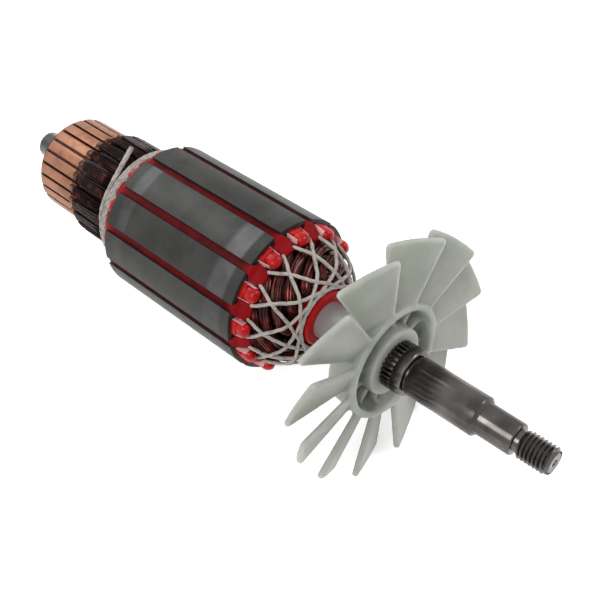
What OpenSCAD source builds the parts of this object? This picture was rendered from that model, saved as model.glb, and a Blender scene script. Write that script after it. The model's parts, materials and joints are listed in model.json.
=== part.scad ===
// Motor armature of a hand-held power tool: shaft, core, windings, commutator and cooling fan.
// The shaft runs along X with its threaded end towards +X. In the shaft frame x = 0 is the
// core's drive-end face and Z is up. The finished part lies on Z = 0 as it rests: on the core's
// rear edge and on the tip corners of the lowest fan blade, with the shaft rising forwards.

/* [Shaft] */
// Radius of the journal behind the commutator
journal_r = 4; // [3.5:0.1:4.8]
// Length of that journal
journal_len = 13.5; // [8:0.5:20]
// Radius of the shaft body and of the drive-end bearing seat
shaft_r = 5; // [4.9:0.1:5.6]
// Length of the drive-end bearing seat
bearing_seat_len = 19.8; // [12:0.2:26]
// Outer radius of the splined shoulder between fan and bearing
shoulder_r = 6.1; // [5.8:0.1:7.2]
// Length of the shoulder
shoulder_len = 5.7; // [4:0.1:9]
// Number of grooves cut in the shoulder
spline_count = 30; // [20:1:36]
// Depth of a spline groove
spline_depth = 0.6; // [0.2:0.05:0.7]
// Width of a spline groove
spline_w = 0.62; // [0.3:0.02:0.7]
// Radius of the seat for the pinion
pinion_seat_r = 4; // [3.6:0.1:4.8]
// Length of the seat for the pinion
pinion_seat_len = 9; // [6:0.5:16]
// Major radius of the thread at the drive end
thread_r = 3.5; // [2.5:0.1:3.5]
// Length of the thread, with its runout groove
thread_len = 9.2; // [6:0.2:14]
// Width of the small relief grooves
relief_w = 0.7; // [0.4:0.1:1]
// Depth of the small relief grooves
relief_depth = 0.45; // [0.2:0.05:0.6]
// Chamfer on the bearing seat
seat_chamfer = 0.9; // [0.3:0.1:1.2]
// Chamfer on the shaft's two ends
end_chamfer = 0.6; // [0.2:0.1:1]
// Radius of the lathe centre holes
centre_r = 0.9; // [0.6:0.1:1]
// Depth of the lathe centre holes
centre_depth = 3; // [2:0.2:5]

/* [Core] */
// Radius of the lamination stack
core_r = 21; // [20.6:0.1:22]
// Length of the lamination stack
core_len = 48; // [30:1:70]
// Width of a tooth
tooth_w = 4; // [3.7:0.1:4.2]
// Height of the slot's floor above the shaft's axis
slot_floor = 10.6; // [10.2:0.1:10.9]
// Thickness of the tooth lips over the slots
lip_t = 2; // [1.6:0.1:2]
// Width of the slot's mouth
mouth_w = 2.2; // [1.6:0.1:2.6]
// Turn of the core about the shaft, from a slot at the top
core_turn = -5; // [-15:0.5:15]

/* [Insulation] */
// Wall of the insulating sleeve between shaft and core
sleeve_wall = 2.5; // [1.8:0.1:2.6]
// Length of sleeve past the core's drive end
sleeve_front = 13.6; // [13:0.2:16]
// Length of sleeve past the core's commutator end
sleeve_rear = 14; // [13:0.2:18]
// Thickness of the end insulators' arms
arm_t = 1.4; // [0.8:0.1:1.5]
// Height of the end insulator's horns at the drive end
horn_h_front = 4.6; // [3.6:0.1:5]
// Height of the end insulator's horns at the commutator end
horn_h_rear = 2.6; // [2.2:0.1:3]
// Thickness of a horn, measured along the radius
horn_t = 2.9; // [1.5:0.1:3]
// Distance that the horns stay below the core's surface
horn_inset = 1.1; // [0.6:0.1:1.4]
// Thickness of the slot liner film
liner_t = 0.3; // [0.15:0.05:0.35]
// Length of liner past each core face
liner_out = 1.8; // [1:0.1:1.8]
// Thickness of a slot wedge under the lips
wedge_t = 0.8; // [0.5:0.1:0.9]
// Width of a slot wedge under the lips
wedge_w = 4.6; // [3.6:0.1:5]
// Depth of a wedge's face below the core's surface
wedge_inset = 0.5; // [0.2:0.1:1]
// Length of wedge past each core face
wedge_out = 3.4; // [1:0.1:4]

/* [Winding] */
// Depth of the outer coil side's middle below the tooth lips
outer_side_drop = 2.6; // [2.5:0.1:2.8]
// Height of the inner coil side's middle above the slot's floor
inner_side_rise = 2.6; // [2.4:0.1:2.7]
// Clearance between the sleeve and the middle of the end turns
turn_clear = 1.7; // [1.6:0.1:1.8]
// Half width of a coil side in its slot
side_half_w = 1.5; // [1:0.1:1.6]
// Half width of a coil's end turn
turn_half_w = 1.25; // [0.8:0.05:1.3]
// Half thickness of a coil's end turn
turn_half_t = 1.15; // [0.8:0.05:1.2]
// Reach of the end turns past the core, at the bundle's middle
turn_reach = 10.3; // [9.6:0.1:10.6]
// Half width of a bundle of leads from a coil to the commutator
lead_half_w = 1.6; // [0.8:0.05:1.7]
// Half thickness of a bundle of leads
lead_half_t = 0.8; // [0.4:0.05:0.85]
// Height of the leads above the brush track
lead_lift = 0.35; // [0.2:0.05:0.8]

/* [Commutator] */
// Radius of the brush track
track_r = 14; // [13.6:0.1:14.4]
// Length of a bar
bar_len = 17; // [12:0.5:22]
// Distance from the core to the bars
bar_gap_to_core = 22.4; // [21:0.2:30]
// Gap between two bars
bar_gap = 0.65; // [0.4:0.05:1]
// Thickness of a bar
bar_t = 3.6; // [2.5:0.1:4]
// Depth of the moulding in the gaps below the track
gap_depth = 1; // [0.4:0.1:1.6]
// Length of moulding past the bars' far end
moulding_lip = 1; // [0.5:0.1:2]
// Width of a bar's hook
hook_w = 1.6; // [1:0.1:2]
// Thickness of a bar's hook
hook_t = 0.55; // [0.4:0.05:0.8]
// Height of a hook above the track
hook_h = 1.35; // [1:0.05:1.8]
// Length of a hook along the bar
hook_len = 2.6; // [1.5:0.1:4]

/* [Cords] */
// Diameter of the lacing cord over the drive-end turns
lacing_d = 1; // [0.6:0.1:1]
// Distance from the sleeve to the middle of the lacing that hugs it
lacing_clear = 0.9; // [0.8:0.05:1.2]
// Reach of the lacing past the core where it hugs the sleeve
lacing_crown = 12.7; // [12.7:0.1:13]
// Diameter of the tie cord at the commutator end
tie_d = 1.1; // [0.8:0.1:1.2]
// Number of turns of the tie cord
tie_turns = 3; // [2:1:3]
// Distance from the core to the tie cord's first turn
tie_start = 3.9; // [3.5:0.1:4]
// Length of the tie cord's free end
tie_tail = 14; // [8:0.5:18]

/* [Fan] */
// Radius over the blade tips
fan_r = 33; // [29:0.5:36]
// Number of blades
blade_count = 12; // [9:1:13]
// Angle that a blade's tip spans about the shaft
blade_span = 26.7; // [18:0.1:27]
// Length of a blade's tip along the shaft
blade_axial = 5.7; // [3:0.1:7]
// Thickness of a blade
blade_t = 1.6; // [1:0.1:2.2]
// Radius of the rounded blade corners
blade_round = 1.2; // [0.4:0.1:2.5]
// Radius of the fan's hub at its front rim
hub_r = 15.4; // [14:0.1:17]
// Length of the hub
hub_len = 8.6; // [7:0.1:12]
// Wall of the hub's rim
hub_wall = 1.9; // [1.2:0.1:2.4]
// Draft of the rim towards the back
hub_draft = 0.8; // [0:0.1:1.2]
// Radius of the boss that grips the shaft
boss_r = 8.8; // [7.4:0.1:10]
// Depth of the ring-shaped recess in the hub's front
recess_depth = 5.3; // [3:0.1:6]
// Thickness of the ribs in the recess
rib_t = 1.1; // [0.8:0.1:1.6]
// Distance of the ribs' edges below the hub's front face
rib_inset = 1.4; // [0.5:0.1:2]
// Distance from the core to the hub's front face
fan_front = 35.6; // [32:0.2:42]
// Distance from the hub's front face back to the middle of the blades
blade_back = 2.25; // [1.5:0.05:3]
// Turn of the fan about the shaft, from a blade's middle at the top
fan_turn = 3; // [-15:0.5:15]

/* [Hidden] */
$fn = 72;
slot_count = 12;         // slots, which is also the number of teeth and of coils
bar_count = 2 * slot_count;
COIL_NAMES = [for (i = [1:slot_count]) str("coil_", i < 10 ? "0" : "", i)];
WEDGE_NAMES = [for (i = [1:slot_count]) str("slot_wedge_", i < 10 ? "0" : "", i)];
BAR_NAMES = [for (i = [1:bar_count]) str("commutator_bar_", i < 10 ? "0" : "", i)];

fit = 0.01;              // radial clearance that a pressed or bonded seat is drawn with
slot_fit = 0.03;         // clearance of liners, wedges and coils in their slots
overshoot = 1;           // length by which a cutting tool runs past what it cuts
step_gap = 1.5;          // distance from the commutator's moulding to the journal's shoulder

slot_pitch = 360 / slot_count;
bar_pitch = 360 / bar_count;
blade_pitch = 360 / blade_count;
sleeve_r = shaft_r + sleeve_wall;
slot_top = core_r - lip_t;
outer_side_r = slot_top - outer_side_drop;
inner_side_r = slot_floor + inner_side_rise;
turn_low = sleeve_r + turn_clear;
lead_height = track_r + lead_lift;
core_rear = -core_len;
bar_front = core_rear - bar_gap_to_core;
bar_rear = bar_front - bar_len;
shaft_rear = bar_rear - moulding_lip - step_gap - journal_len;
shaft_step = shaft_rear + journal_len;
shoulder_front = fan_front + shoulder_len;
bearing_front = shoulder_front + bearing_seat_len;
pinion_front = bearing_front + pinion_seat_len;
shaft_front = pinion_front + thread_len;
bar_underside = track_r - bar_t;

// half width of a slot at height y above the axis, between two teeth of parallel width
function slot_half(y) = y * tan(slot_pitch / 2) - tooth_w / 2 / cos(slot_pitch / 2);

fan_overlap = 0.5;       // depth by which ribs and blades run into the walls that they join
// ---- fan blade outline: a sector-like plate with rounded tip corners, seen along its normal ----
tip_half_y = fan_r * sin(blade_span / 2);
tip_rise = fan_r * cos(blade_span / 2);
blade_lean = atan(blade_axial / 2 / tip_half_y);
tip_half = norm([tip_half_y, blade_axial / 2]);
tip_sink = 0.15;         // hollow of a blade's tip edge at its middle
root_rise = hub_r - hub_wall - fan_overlap;
edge_angle = atan(tip_half / tip_rise);
round_steps = 4;
function corner(side, k) =
    let (a = -edge_angle + (90 + edge_angle) * k / round_steps,
         cy = tip_rise - blade_round,
         cx = cy * tan(edge_angle) - blade_round / cos(edge_angle))
    [side * (cx + blade_round * cos(a)), cy + blade_round * sin(a)];
blade_outline = concat(
    [[-root_rise * tan(edge_angle), root_rise], [root_rise * tan(edge_angle), root_rise]],
    [for (k = [0:round_steps]) corner(1, k)],
    [[0, tip_rise - tip_sink]],
    [for (k = [round_steps:-1:0]) corner(-1, k)]);
blade_mid = fan_front - blade_back;
// a point of a blade's outline in the shaft frame, on its rear or front face, before any turn
function blade_point(p, face) = [
    blade_mid + p[0] * sin(blade_lean) + face * blade_t / 2 * cos(blade_lean),
    p[0] * cos(blade_lean) - face * blade_t / 2 * sin(blade_lean),
    p[1]];
// depth of such a point below the axis once its blade is turned by a
function depth_at(p, a) = -(p[2] * cos(a) + p[1] * sin(a));

// ---- how the part rests: a line from the core's rear edge to the lowest blade tip ----
low_points = [
    for (i = [0:blade_count - 1], p = blade_outline, face = [-1, 1])
        let (q = blade_point(p, face))
        [q[0], depth_at(q, fan_turn + i * blade_pitch)]];
rest_tilt = max([for (q = low_points) atan((q[1] - core_r) / (q[0] - core_rear))]);
axis_height = core_r * cos(rest_tilt) - core_rear * sin(rest_tilt);
nose_x = shaft_front * cos(rest_tilt) + (thread_r - end_chamfer) * sin(rest_tilt);
tail_x = shaft_rear * cos(rest_tilt) - (journal_r - end_chamfer) * sin(rest_tilt);
lay_x = -(nose_x + tail_x) / 2;

// ---- small helpers ----
module resting() translate([lay_x, 0, axis_height]) rotate([0, -rest_tilt, 0]) children();
// turns a drawing so that its x is Y, its y is Z and its height runs along the shaft from x
module along(x) translate([x, 0, 0]) rotate([90, 0, 90]) children();
// a turned piece from [radius, x] points
module turned(points) rotate([90, 0, 90]) rotate_extrude() polygon(points);
module around(count, start = 0) for (i = [0:count - 1]) rotate([start + i * 360 / count, 0, 0]) children();

// ---- swept tubes ----
function unit(v) = v / norm(v);
function polar(x, r, a) = [x, -r * sin(a), r * cos(a)];
// faces of a tube of given rings and sides, closed on itself or capped
function tube_faces(rings, sides, closed) = concat(
    [for (i = [0:rings - (closed ? 1 : 2)], j = [0:sides - 1])
        let (n = (i + 1) % rings, k = (j + 1) % sides)
        [i * sides + j, i * sides + k, n * sides + k, n * sides + j]],
    closed ? [] : [[for (j = [sides - 1:-1:0]) j]],
    closed ? [] : [[for (j = [0:sides - 1]) (rings - 1) * sides + j]]);
// a tube along path, with an outward direction and two half sizes for each station
module swept(path, outward, half_w, half_t, closed) {
    n = len(path);
    sides = 8;
    points = [for (i = [0:n - 1])
        let (before = path[closed ? (i + n - 1) % n : max(i - 1, 0)],
             after = path[closed ? (i + 1) % n : min(i + 1, n - 1)],
             t = unit(after - before),
             o = unit(outward[i] - (outward[i] * t) * t),
             s = cross(t, o))
        for (j = [0:sides - 1])
            let (a = 360 * (j + 0.5) / sides)
            path[i] + s * half_w[i] * cos(a) + o * half_t[i] * sin(a)];
    polyhedron(points, tube_faces(n, sides, closed), convexity = 6);
}

// ---- shaft ----
module shaft() color("silver") resting() difference() {
    turned([
        [0, shaft_rear],
        [journal_r - end_chamfer, shaft_rear],
        [journal_r, shaft_rear + end_chamfer],
        [journal_r, shaft_step],
        [shaft_r, shaft_step + shaft_r - journal_r],
        [shaft_r, fan_front],
        [shoulder_r, fan_front],
        [shoulder_r, shoulder_front - end_chamfer / 2],
        [shoulder_r - end_chamfer / 2, shoulder_front],
        [shaft_r - relief_depth, shoulder_front],
        [shaft_r - relief_depth, shoulder_front + relief_w],
        [shaft_r, shoulder_front + relief_w],
        [shaft_r, bearing_front - seat_chamfer],
        [shaft_r - seat_chamfer, bearing_front],
        [pinion_seat_r, bearing_front],
        [pinion_seat_r, pinion_front],
        [thread_r - relief_depth * 2, pinion_front],
        [thread_r - relief_depth * 2, pinion_front + relief_w],
        [thread_r, pinion_front + relief_w + relief_depth * 2],
        [thread_r, shaft_front - end_chamfer],
        [thread_r - end_chamfer, shaft_front],
        [0, shaft_front]]);
    around(spline_count)
        translate([fan_front - overshoot, -spline_w / 2, shoulder_r - spline_depth])
            cube([shoulder_len / 2 + overshoot, spline_w, spline_depth + overshoot]);
    along(shaft_front - centre_depth) cylinder(r = centre_r, h = centre_depth + overshoot);
    along(shaft_front - centre_r) cylinder(r1 = centre_r, r2 = centre_r * 2, h = centre_r);
    along(shaft_rear - overshoot) cylinder(r = centre_r, h = centre_depth + overshoot);
    along(shaft_rear) cylinder(r1 = centre_r * 2, r2 = centre_r, h = centre_r);
}

// ---- insulating sleeve ----
module insulating_sleeve() color("crimson") resting()
    turned([
        [shaft_r + fit, core_rear - sleeve_rear],
        [sleeve_r, core_rear - sleeve_rear],
        [sleeve_r, sleeve_front - end_chamfer],
        [sleeve_r - end_chamfer, sleeve_front],
        [shaft_r + fit, sleeve_front]]);

// ---- lamination stack ----
module slot_prism(x, len, top) along(x) linear_extrude(len)
    polygon([
        [-slot_half(slot_floor), slot_floor], [slot_half(slot_floor), slot_floor],
        [slot_half(top), top], [-slot_half(top), top]]);
module lamination_stack() color("dimgray") resting() difference() {
    along(core_rear) cylinder(r = core_r, h = core_len, $fn = 180);
    along(core_rear - overshoot) cylinder(r = sleeve_r + fit, h = core_len + 2 * overshoot);
    around(slot_count, core_turn) {
        slot_prism(core_rear - overshoot, core_len + 2 * overshoot, slot_top);
        along(core_rear - overshoot) linear_extrude(core_len + 2 * overshoot)
            translate([-mouth_w / 2, slot_top - overshoot]) square([mouth_w, core_r]);
    }
}

// ---- end insulators: a ring with one arm and one horn on each tooth ----
horn_top = core_r - horn_inset;
horn_flat = 0.2;         // depth of a horn's flat outer side below the ring's outline
horn_w = tooth_w - 0.2;  // width of a horn
horn_bow = 0.54;         // radius of a horn's rounded end as a share of its width
horn_round = horn_bow * horn_w;
// one horn, standing on the x = 0 plane with its rounded end towards +X
module horn(h) intersection() {
    translate([arm_t / 2, -horn_w / 2, 0]) cube([h - arm_t / 2, horn_w, horn_t]);
    union() {
        translate([0, -horn_w, -overshoot]) cube([h - horn_round, 2 * horn_w, horn_t + 2 * overshoot]);
        translate([h - horn_round, 0, -overshoot]) cylinder(r = horn_round, h = horn_t + 2 * overshoot);
    }
}
module end_insulator(horn_h) {
    difference() {
        along(0) cylinder(r = horn_top, h = arm_t, $fn = 180);
        along(-overshoot) cylinder(r = sleeve_r + fit, h = arm_t + 2 * overshoot);
        around(slot_count, core_turn) slot_prism(-overshoot, arm_t + 2 * overshoot, core_r + overshoot);
    }
    around(slot_count, core_turn + slot_pitch / 2)
        translate([0, 0, horn_top - horn_flat - horn_t]) horn(horn_h);
}
module end_insulator_drive() color("red") resting() end_insulator(horn_h_front);
module end_insulator_commutator() color("red") resting()
    translate([core_rear, 0, 0]) mirror([1, 0, 0]) end_insulator(horn_h_rear);

// ---- slot liners: a folded film in each slot ----
liner_top = slot_top - wedge_t - 2 * slot_fit;
module slot_liners() color("mistyrose") resting() around(slot_count, core_turn)
    along(core_rear - liner_out) linear_extrude(core_len + 2 * liner_out)
        polygon([
            [-slot_half(slot_floor) + slot_fit, slot_floor + slot_fit],
            [slot_half(slot_floor) - slot_fit, slot_floor + slot_fit],
            [slot_half(liner_top) - slot_fit, liner_top],
            [slot_half(liner_top) - slot_fit - liner_t, liner_top],
            [slot_half(slot_floor) - slot_fit - liner_t / 2, slot_floor + slot_fit + liner_t],
            [-slot_half(slot_floor) + slot_fit + liner_t / 2, slot_floor + slot_fit + liner_t],
            [-slot_half(liner_top) + slot_fit + liner_t, liner_top],
            [-slot_half(liner_top) + slot_fit, liner_top]]);

// ---- slot wedges: a strip under the lips with a rib that fills the mouth ----
wedge_face = core_r - wedge_inset;
module slot_wedge(i) color("darkred") resting() rotate([core_turn + i * slot_pitch, 0, 0])
    along(core_rear - wedge_out) linear_extrude(core_len + 2 * wedge_out)
        polygon([
            [-wedge_w / 2, slot_top - slot_fit - wedge_t],
            [wedge_w / 2, slot_top - slot_fit - wedge_t],
            [wedge_w / 2, slot_top - slot_fit],
            [mouth_w / 2 - slot_fit, slot_top - slot_fit],
            [mouth_w / 2 - slot_fit, wedge_face],
            [-mouth_w / 2 + slot_fit, wedge_face],
            [-mouth_w / 2 + slot_fit, slot_top - slot_fit],
            [-wedge_w / 2, slot_top - slot_fit]]);

// ---- coils ----
coil_span = 5 * slot_pitch;
side_out = liner_out + 0.1;  // length of a coil side past the core
exit_height = 0.958;         // share of an outer side's height at which it leaves its slot
// Stations of an end turn's outer half:
// [angle, share of the reach, share of the height, share of the drop, lean of the outward side]
OUTER_HALF = [
    [0.5, 0.272, 0.889, 0.3, 0],
    [14, 0.398, 0.819, 0.5, 10],
    [30, 0.534, 0.764, 0.8, 15],
    [45, 0.689, 0.667, 1, 25],
    [60, 0.845, 0.514, 1, 40],
    [71, 0.961, 0.361, 0.6, 60],
    [75, 1, 0.181, 0.2, 90]];
// Stations of its inner half: [angle, share of the reach, share of the height, lean]
INNER_HALF = [
    [79, 0.942, 0.075, 130],
    [90, 0.835, 0, 160],
    [105, 0.689, 0.175, 170],
    [120, 0.544, 0.4, 175],
    [135, 0.398, 0.675, 180],
    [149.5, 0.272, 0.925, 180]];
// [angle, reach past the core, height above the axis, lean] of a turn that sags by drop
function turn_table(drop) = concat(
    [[0, 0, outer_side_r, 0],
     [0, side_out, turn_low + exit_height * (outer_side_r - turn_low), 0]],
    [for (s = OUTER_HALF)
        [s[0], s[1] * turn_reach, turn_low + s[2] * (outer_side_r - turn_low) - s[3] * drop, s[4]]],
    [for (s = INNER_HALF)
        [s[0], s[1] * turn_reach, turn_low + s[2] * (inner_side_r - turn_low), s[3]]],
    [[coil_span, side_out, inner_side_r, 180],
     [coil_span, 0, inner_side_r, 180]]);
front_turn = turn_table(0);
rear_turn = turn_table(1);
inner_half_w = 0.85;     // half width of the coil side where it leaves the slot
inner_taper = 0.9;       // share of the width that an end turn keeps on its inner half
function half_w_at(row) =
    row[1] <= side_out ? (row[0] == 0 ? side_half_w : inner_half_w)
    : turn_half_w * (row[3] > 100 ? inner_taper : 1);
function outward_at(row) =
    polar(0, 1, row[0]) * cos(row[3]) + [sin(row[3]), 0, 0];
module coil_loop() {
    split = len(front_turn);
    rows = concat(front_turn, [for (i = [len(rear_turn) - 1:-1:0]) rear_turn[i]]);
    path = [for (i = [0:len(rows) - 1])
        let (row = rows[i]) polar(i < split ? row[1] : core_rear - row[1], row[2], row[0])];
    outward = [for (i = [0:len(rows) - 1])
        let (o = outward_at(rows[i])) i < split ? o : [-o[0], o[1], o[2]]];
    swept(path, outward, [for (row = rows) half_w_at(row)], [for (row = rows) turn_half_t], true);
}
bar_offset = core_turn;  // every second bar lines up with a slot
// a bundle of leads from a station of the coil's rear end turn to its hook
lead_end = bar_front + slot_fit;
lead_rise = 2.9;         // length over which a bundle climbs from the end turn to its own height
bend_at = 0.4;           // share of that length at which the bundle bends
bend_up = 0.6;           // share of the climb done at the bend
module coil_lead(row) {
    a = row[0] + bar_offset - core_turn;
    from_x = core_rear - row[1];
    stations = [
        [from_x, row[2]],
        [from_x - lead_rise * bend_at, row[2] + (lead_height - row[2]) * bend_up],
        [from_x - lead_rise, lead_height],
        [lead_end, lead_height]];
    path = [for (s = stations) polar(s[0], s[1], a)];
    outward = [for (s = stations) polar(0, 1, a)];
    swept(path, outward, [for (s = stations) lead_half_w], [for (s = stations) lead_half_t], false);
}
module coil(i) color("saddlebrown") resting() rotate([core_turn + i * slot_pitch, 0, 0]) {
    coil_loop();
    coil_lead(rear_turn[5]);
    coil_lead(rear_turn[6]);
}

// ---- commutator ----
module bar_wedge(r) polygon([
    [0, bar_gap / 2 / sin(bar_pitch / 2)],
    [(r - bar_gap / 2 / sin(bar_pitch / 2)) * tan(bar_pitch / 2), r],
    [-(r - bar_gap / 2 / sin(bar_pitch / 2)) * tan(bar_pitch / 2), r]]);
module commutator_bar(i) color("peru") resting()
    rotate([bar_offset + i * bar_pitch, 0, 0]) {
        difference() {
            intersection() {
                along(bar_rear) cylinder(r = track_r, h = bar_len, $fn = 180);
                along(bar_rear - overshoot) linear_extrude(bar_len + 2 * overshoot)
                    bar_wedge(track_r + overshoot);
            }
            along(bar_rear - overshoot) cylinder(r = bar_underside, h = bar_len + 2 * overshoot);
        }
        translate([bar_front - hook_t, -hook_w / 2, track_r - overshoot / 2])
            cube([hook_t, hook_w, hook_h + overshoot / 2]);
        translate([bar_front - hook_len, -hook_w / 2, track_r + hook_h - hook_t])
            cube([hook_len, hook_w, hook_t]);
    }
lip_inset = 0.7;         // height of the bars above the moulding's two lips
module commutator_moulding() color("saddlebrown") resting() {
    lip_r = track_r - lip_inset;
    core_of_bars = bar_underside - fit;
    turned([
        [shaft_r + fit, bar_rear - moulding_lip],
        [lip_r, bar_rear - moulding_lip],
        [lip_r, bar_rear],
        [core_of_bars, bar_rear],
        [core_of_bars, bar_front],
        [lip_r, bar_front],
        [lip_r, bar_front + moulding_lip],
        [shaft_r + fit, bar_front + moulding_lip]]);
    around(bar_count, bar_offset + bar_pitch / 2)
        translate([bar_rear - moulding_lip / 2, -bar_gap / 2 + fit, bar_underside - overshoot])
            cube([bar_len + moulding_lip, bar_gap - 2 * fit, bar_t - gap_depth + overshoot]);
}

// ---- lacing cord over the drive-end turns ----
lace_ring = sleeve_r + lacing_clear;
lace_sink = 3.5;         // depth of a run's ends below the core's surface, beside a horn
lace_rim = core_r - lace_sink;
// Stations of half a run: [angle from its middle, share of the way to the rim, share of the crown]
LACE_HALF = [
    [0, 0, 1],
    [15, 0.022, 1],
    [30, 0.077, 0.99],
    [44, 0.2, 0.976],
    [56, 0.352, 0.941],
    [65, 0.538, 0.858],
    [72, 0.747, 0.67],
    [76, 0.857, 0.488],
    [79.5, 0.923, 0.417],
    [82, 0.967, 0.339],
    [84, 1, 0.193]];
module lacing_run() {
    last = len(LACE_HALF) - 1;
    path = [for (k = [-last:last])
        let (s = LACE_HALF[abs(k)])
        polar(lacing_crown * s[2], lace_ring + (lace_rim - lace_ring) * s[1], sign(k) * s[0])];
    outward = [for (p = path) p + [lacing_crown / 2, 0, 0]];
    sizes = [for (p = path) lacing_d / 2];
    swept(path, outward, sizes, sizes, false);
}
module lacing_cord() color("ivory") resting() around(slot_count, core_turn) lacing_run();

// ---- tie cord round the commutator-end turns ----
tie_steps = 22;          // stations of the swept cord in one turn
tail_steps = 6;          // stations along its free end
tie_pitch = tie_d + slot_fit;
tie_from = 38;           // angle at which the cord starts and its last turn ends
tie_sink = 0.7;          // how far the first turn sits between the bundles
tie_r = outer_side_r + turn_half_t + tie_d / 2 - tie_sink;
tie_taper = 0.35;        // drop of the cord's radius from its first turn to its last
tail_power = 1.6;        // how slowly the free end lifts off the turns
tail_along = 0.12;       // share of the free end's length that it runs along the shaft
tail_up = 0.2;           // share of its length that it rises
tail_turn = tie_tail / tie_r * 180 / PI;   // angle that the free end still runs round
module tie_cord() color("ivory") resting() {
    last = tie_turns * tie_steps;
    coils = [for (k = [0:last])
        polar(core_rear - tie_start - tie_pitch * k / tie_steps, tie_r - tie_taper * k / last,
            tie_from - 360 * k / tie_steps)];
    end_x = core_rear - tie_start - tie_pitch * tie_turns;
    tail = [for (k = [1:tail_steps])
        polar(end_x - tie_tail * tail_along * k / tail_steps,
            tie_r - tie_taper + tie_tail * tail_up * pow(k / tail_steps, tail_power),
            tie_from - tail_turn * k / tail_steps)];
    path = concat(coils, tail);
    outward = [for (p = path) [0, p[1], p[2]]];
    sizes = [for (p = path) tie_d / 2];
    swept(path, outward, sizes, sizes, false);
}

// ---- fan ----
module fan_blade() translate([blade_mid, 0, 0]) rotate([0, 0, -blade_lean])
    along(0) translate([0, 0, -blade_t / 2]) linear_extrude(blade_t) polygon(blade_outline);
module fan() color("honeydew") resting() {
    hub_rear = fan_front - hub_len;
    recess_floor = fan_front - recess_depth;
    turned([
        [shaft_r + fit, hub_rear],
        [hub_r - hub_draft, hub_rear],
        [hub_r, fan_front - fit],
        [hub_r - hub_wall, fan_front - fit],
        [hub_r - hub_wall, recess_floor],
        [boss_r, recess_floor],
        [boss_r, fan_front - fit],
        [shaft_r + fit, fan_front - fit]]);
    around(blade_count, fan_turn)
        translate([recess_floor - overshoot, -rib_t / 2, boss_r - overshoot])
            cube([recess_depth + overshoot - rib_inset, rib_t,
                hub_r - hub_wall - boss_r + overshoot + fan_overlap]);
    around(blade_count, fan_turn) fan_blade();
}

shaft();
insulating_sleeve();
lamination_stack();
end_insulator_drive();
end_insulator_commutator();
slot_liners();
commutator_moulding();
lacing_cord();
tie_cord();
fan();
for (i = [0:slot_count - 1]) slot_wedge(i);
for (i = [0:slot_count - 1]) coil(i);
for (i = [0:bar_count - 1]) commutator_bar(i);
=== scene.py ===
"""The looks of a power-tool motor armature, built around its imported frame.

Every piece is modelled in the shaft frame, in millimetres: x runs along the shaft
from the core's drive-end face, and z is the slot side that lies nearest the top.
"""

import json
import logging
import math
import random
from dataclasses import dataclass
from enum import Enum
from typing import Any, Iterable, Sequence

import bmesh
import bpy
from mathutils import Matrix, Vector

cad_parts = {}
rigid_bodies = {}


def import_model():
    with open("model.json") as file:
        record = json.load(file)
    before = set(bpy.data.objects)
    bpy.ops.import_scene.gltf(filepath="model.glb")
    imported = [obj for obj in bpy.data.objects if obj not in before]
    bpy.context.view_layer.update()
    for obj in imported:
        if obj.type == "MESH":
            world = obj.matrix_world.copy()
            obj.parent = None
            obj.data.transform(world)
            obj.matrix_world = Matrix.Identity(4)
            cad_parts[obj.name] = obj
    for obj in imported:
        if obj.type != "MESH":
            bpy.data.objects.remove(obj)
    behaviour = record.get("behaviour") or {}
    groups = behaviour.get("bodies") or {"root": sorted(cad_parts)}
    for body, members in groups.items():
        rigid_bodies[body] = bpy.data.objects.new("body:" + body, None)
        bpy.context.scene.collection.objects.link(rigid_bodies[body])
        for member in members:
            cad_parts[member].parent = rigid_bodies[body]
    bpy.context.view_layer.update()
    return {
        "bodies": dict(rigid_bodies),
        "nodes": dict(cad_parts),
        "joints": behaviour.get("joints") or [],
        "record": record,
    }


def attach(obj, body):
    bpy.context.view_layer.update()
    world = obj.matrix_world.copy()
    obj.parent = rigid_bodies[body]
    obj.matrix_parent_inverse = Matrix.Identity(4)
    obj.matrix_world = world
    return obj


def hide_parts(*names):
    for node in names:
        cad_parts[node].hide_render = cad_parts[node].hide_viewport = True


LOG = logging.getLogger("armature")
MM = 0.001
BODY = "root"
SLOT_COUNT = 12
SLOT_PITCH = 360.0 / SLOT_COUNT
BAR_COUNT = 24
BAR_PITCH = 360.0 / BAR_COUNT
CORE_LENGTH = 48.0
CORE_REAR = -CORE_LENGTH
CORE_TURN = -5.0
BAR_FRONT = -70.4
BAR_REAR = -87.4
FAN_FRONT = 35.6
ON_AXIS = 1e-6
WELD = 1e-5
PLY_SIDE = (0.3, 0.5, 0.8)
END_SHARE = 0.3
Triple = tuple[float, float, float]
Color = Triple
Stops = tuple[tuple[float, float], ...]
Profile = Sequence[tuple[float, float]]


class Slot(Enum):
    """The record's material slots."""

    STEEL = "ground_steel"
    CORE = "core_steel"
    RED = "red_insulation"
    WEDGE = "wedge_strip"
    FILM = "liner_film"
    WIRE = "enamelled_wire"
    COPPER = "commutator_copper"
    MOULDING = "brown_moulding"
    CORD = "white_cord"
    NYLON = "white_nylon"


# --------------------------------------------------------------------------- frame


@dataclass(frozen=True)
class RestPose:
    """How the shaft lies: tilted about Y, over the floor, on the core's edge and the fan."""

    tilt_deg: float = 7.83039
    lay_x: float = 11.9717
    axis_height: float = 27.3438

    def turn(self) -> Matrix:
        """The shaft frame's turn in the row frame."""
        return Matrix.Rotation(-math.radians(self.tilt_deg), 4, "Y")

    def matrix(self) -> Matrix:
        """From the shaft frame in millimetres to the row frame in metres."""
        place = Matrix.Translation(Vector((self.lay_x, 0.0, self.axis_height)) * MM)
        return place @ self.turn() @ Matrix.Scale(MM, 4)


POSE = RestPose()


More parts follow.
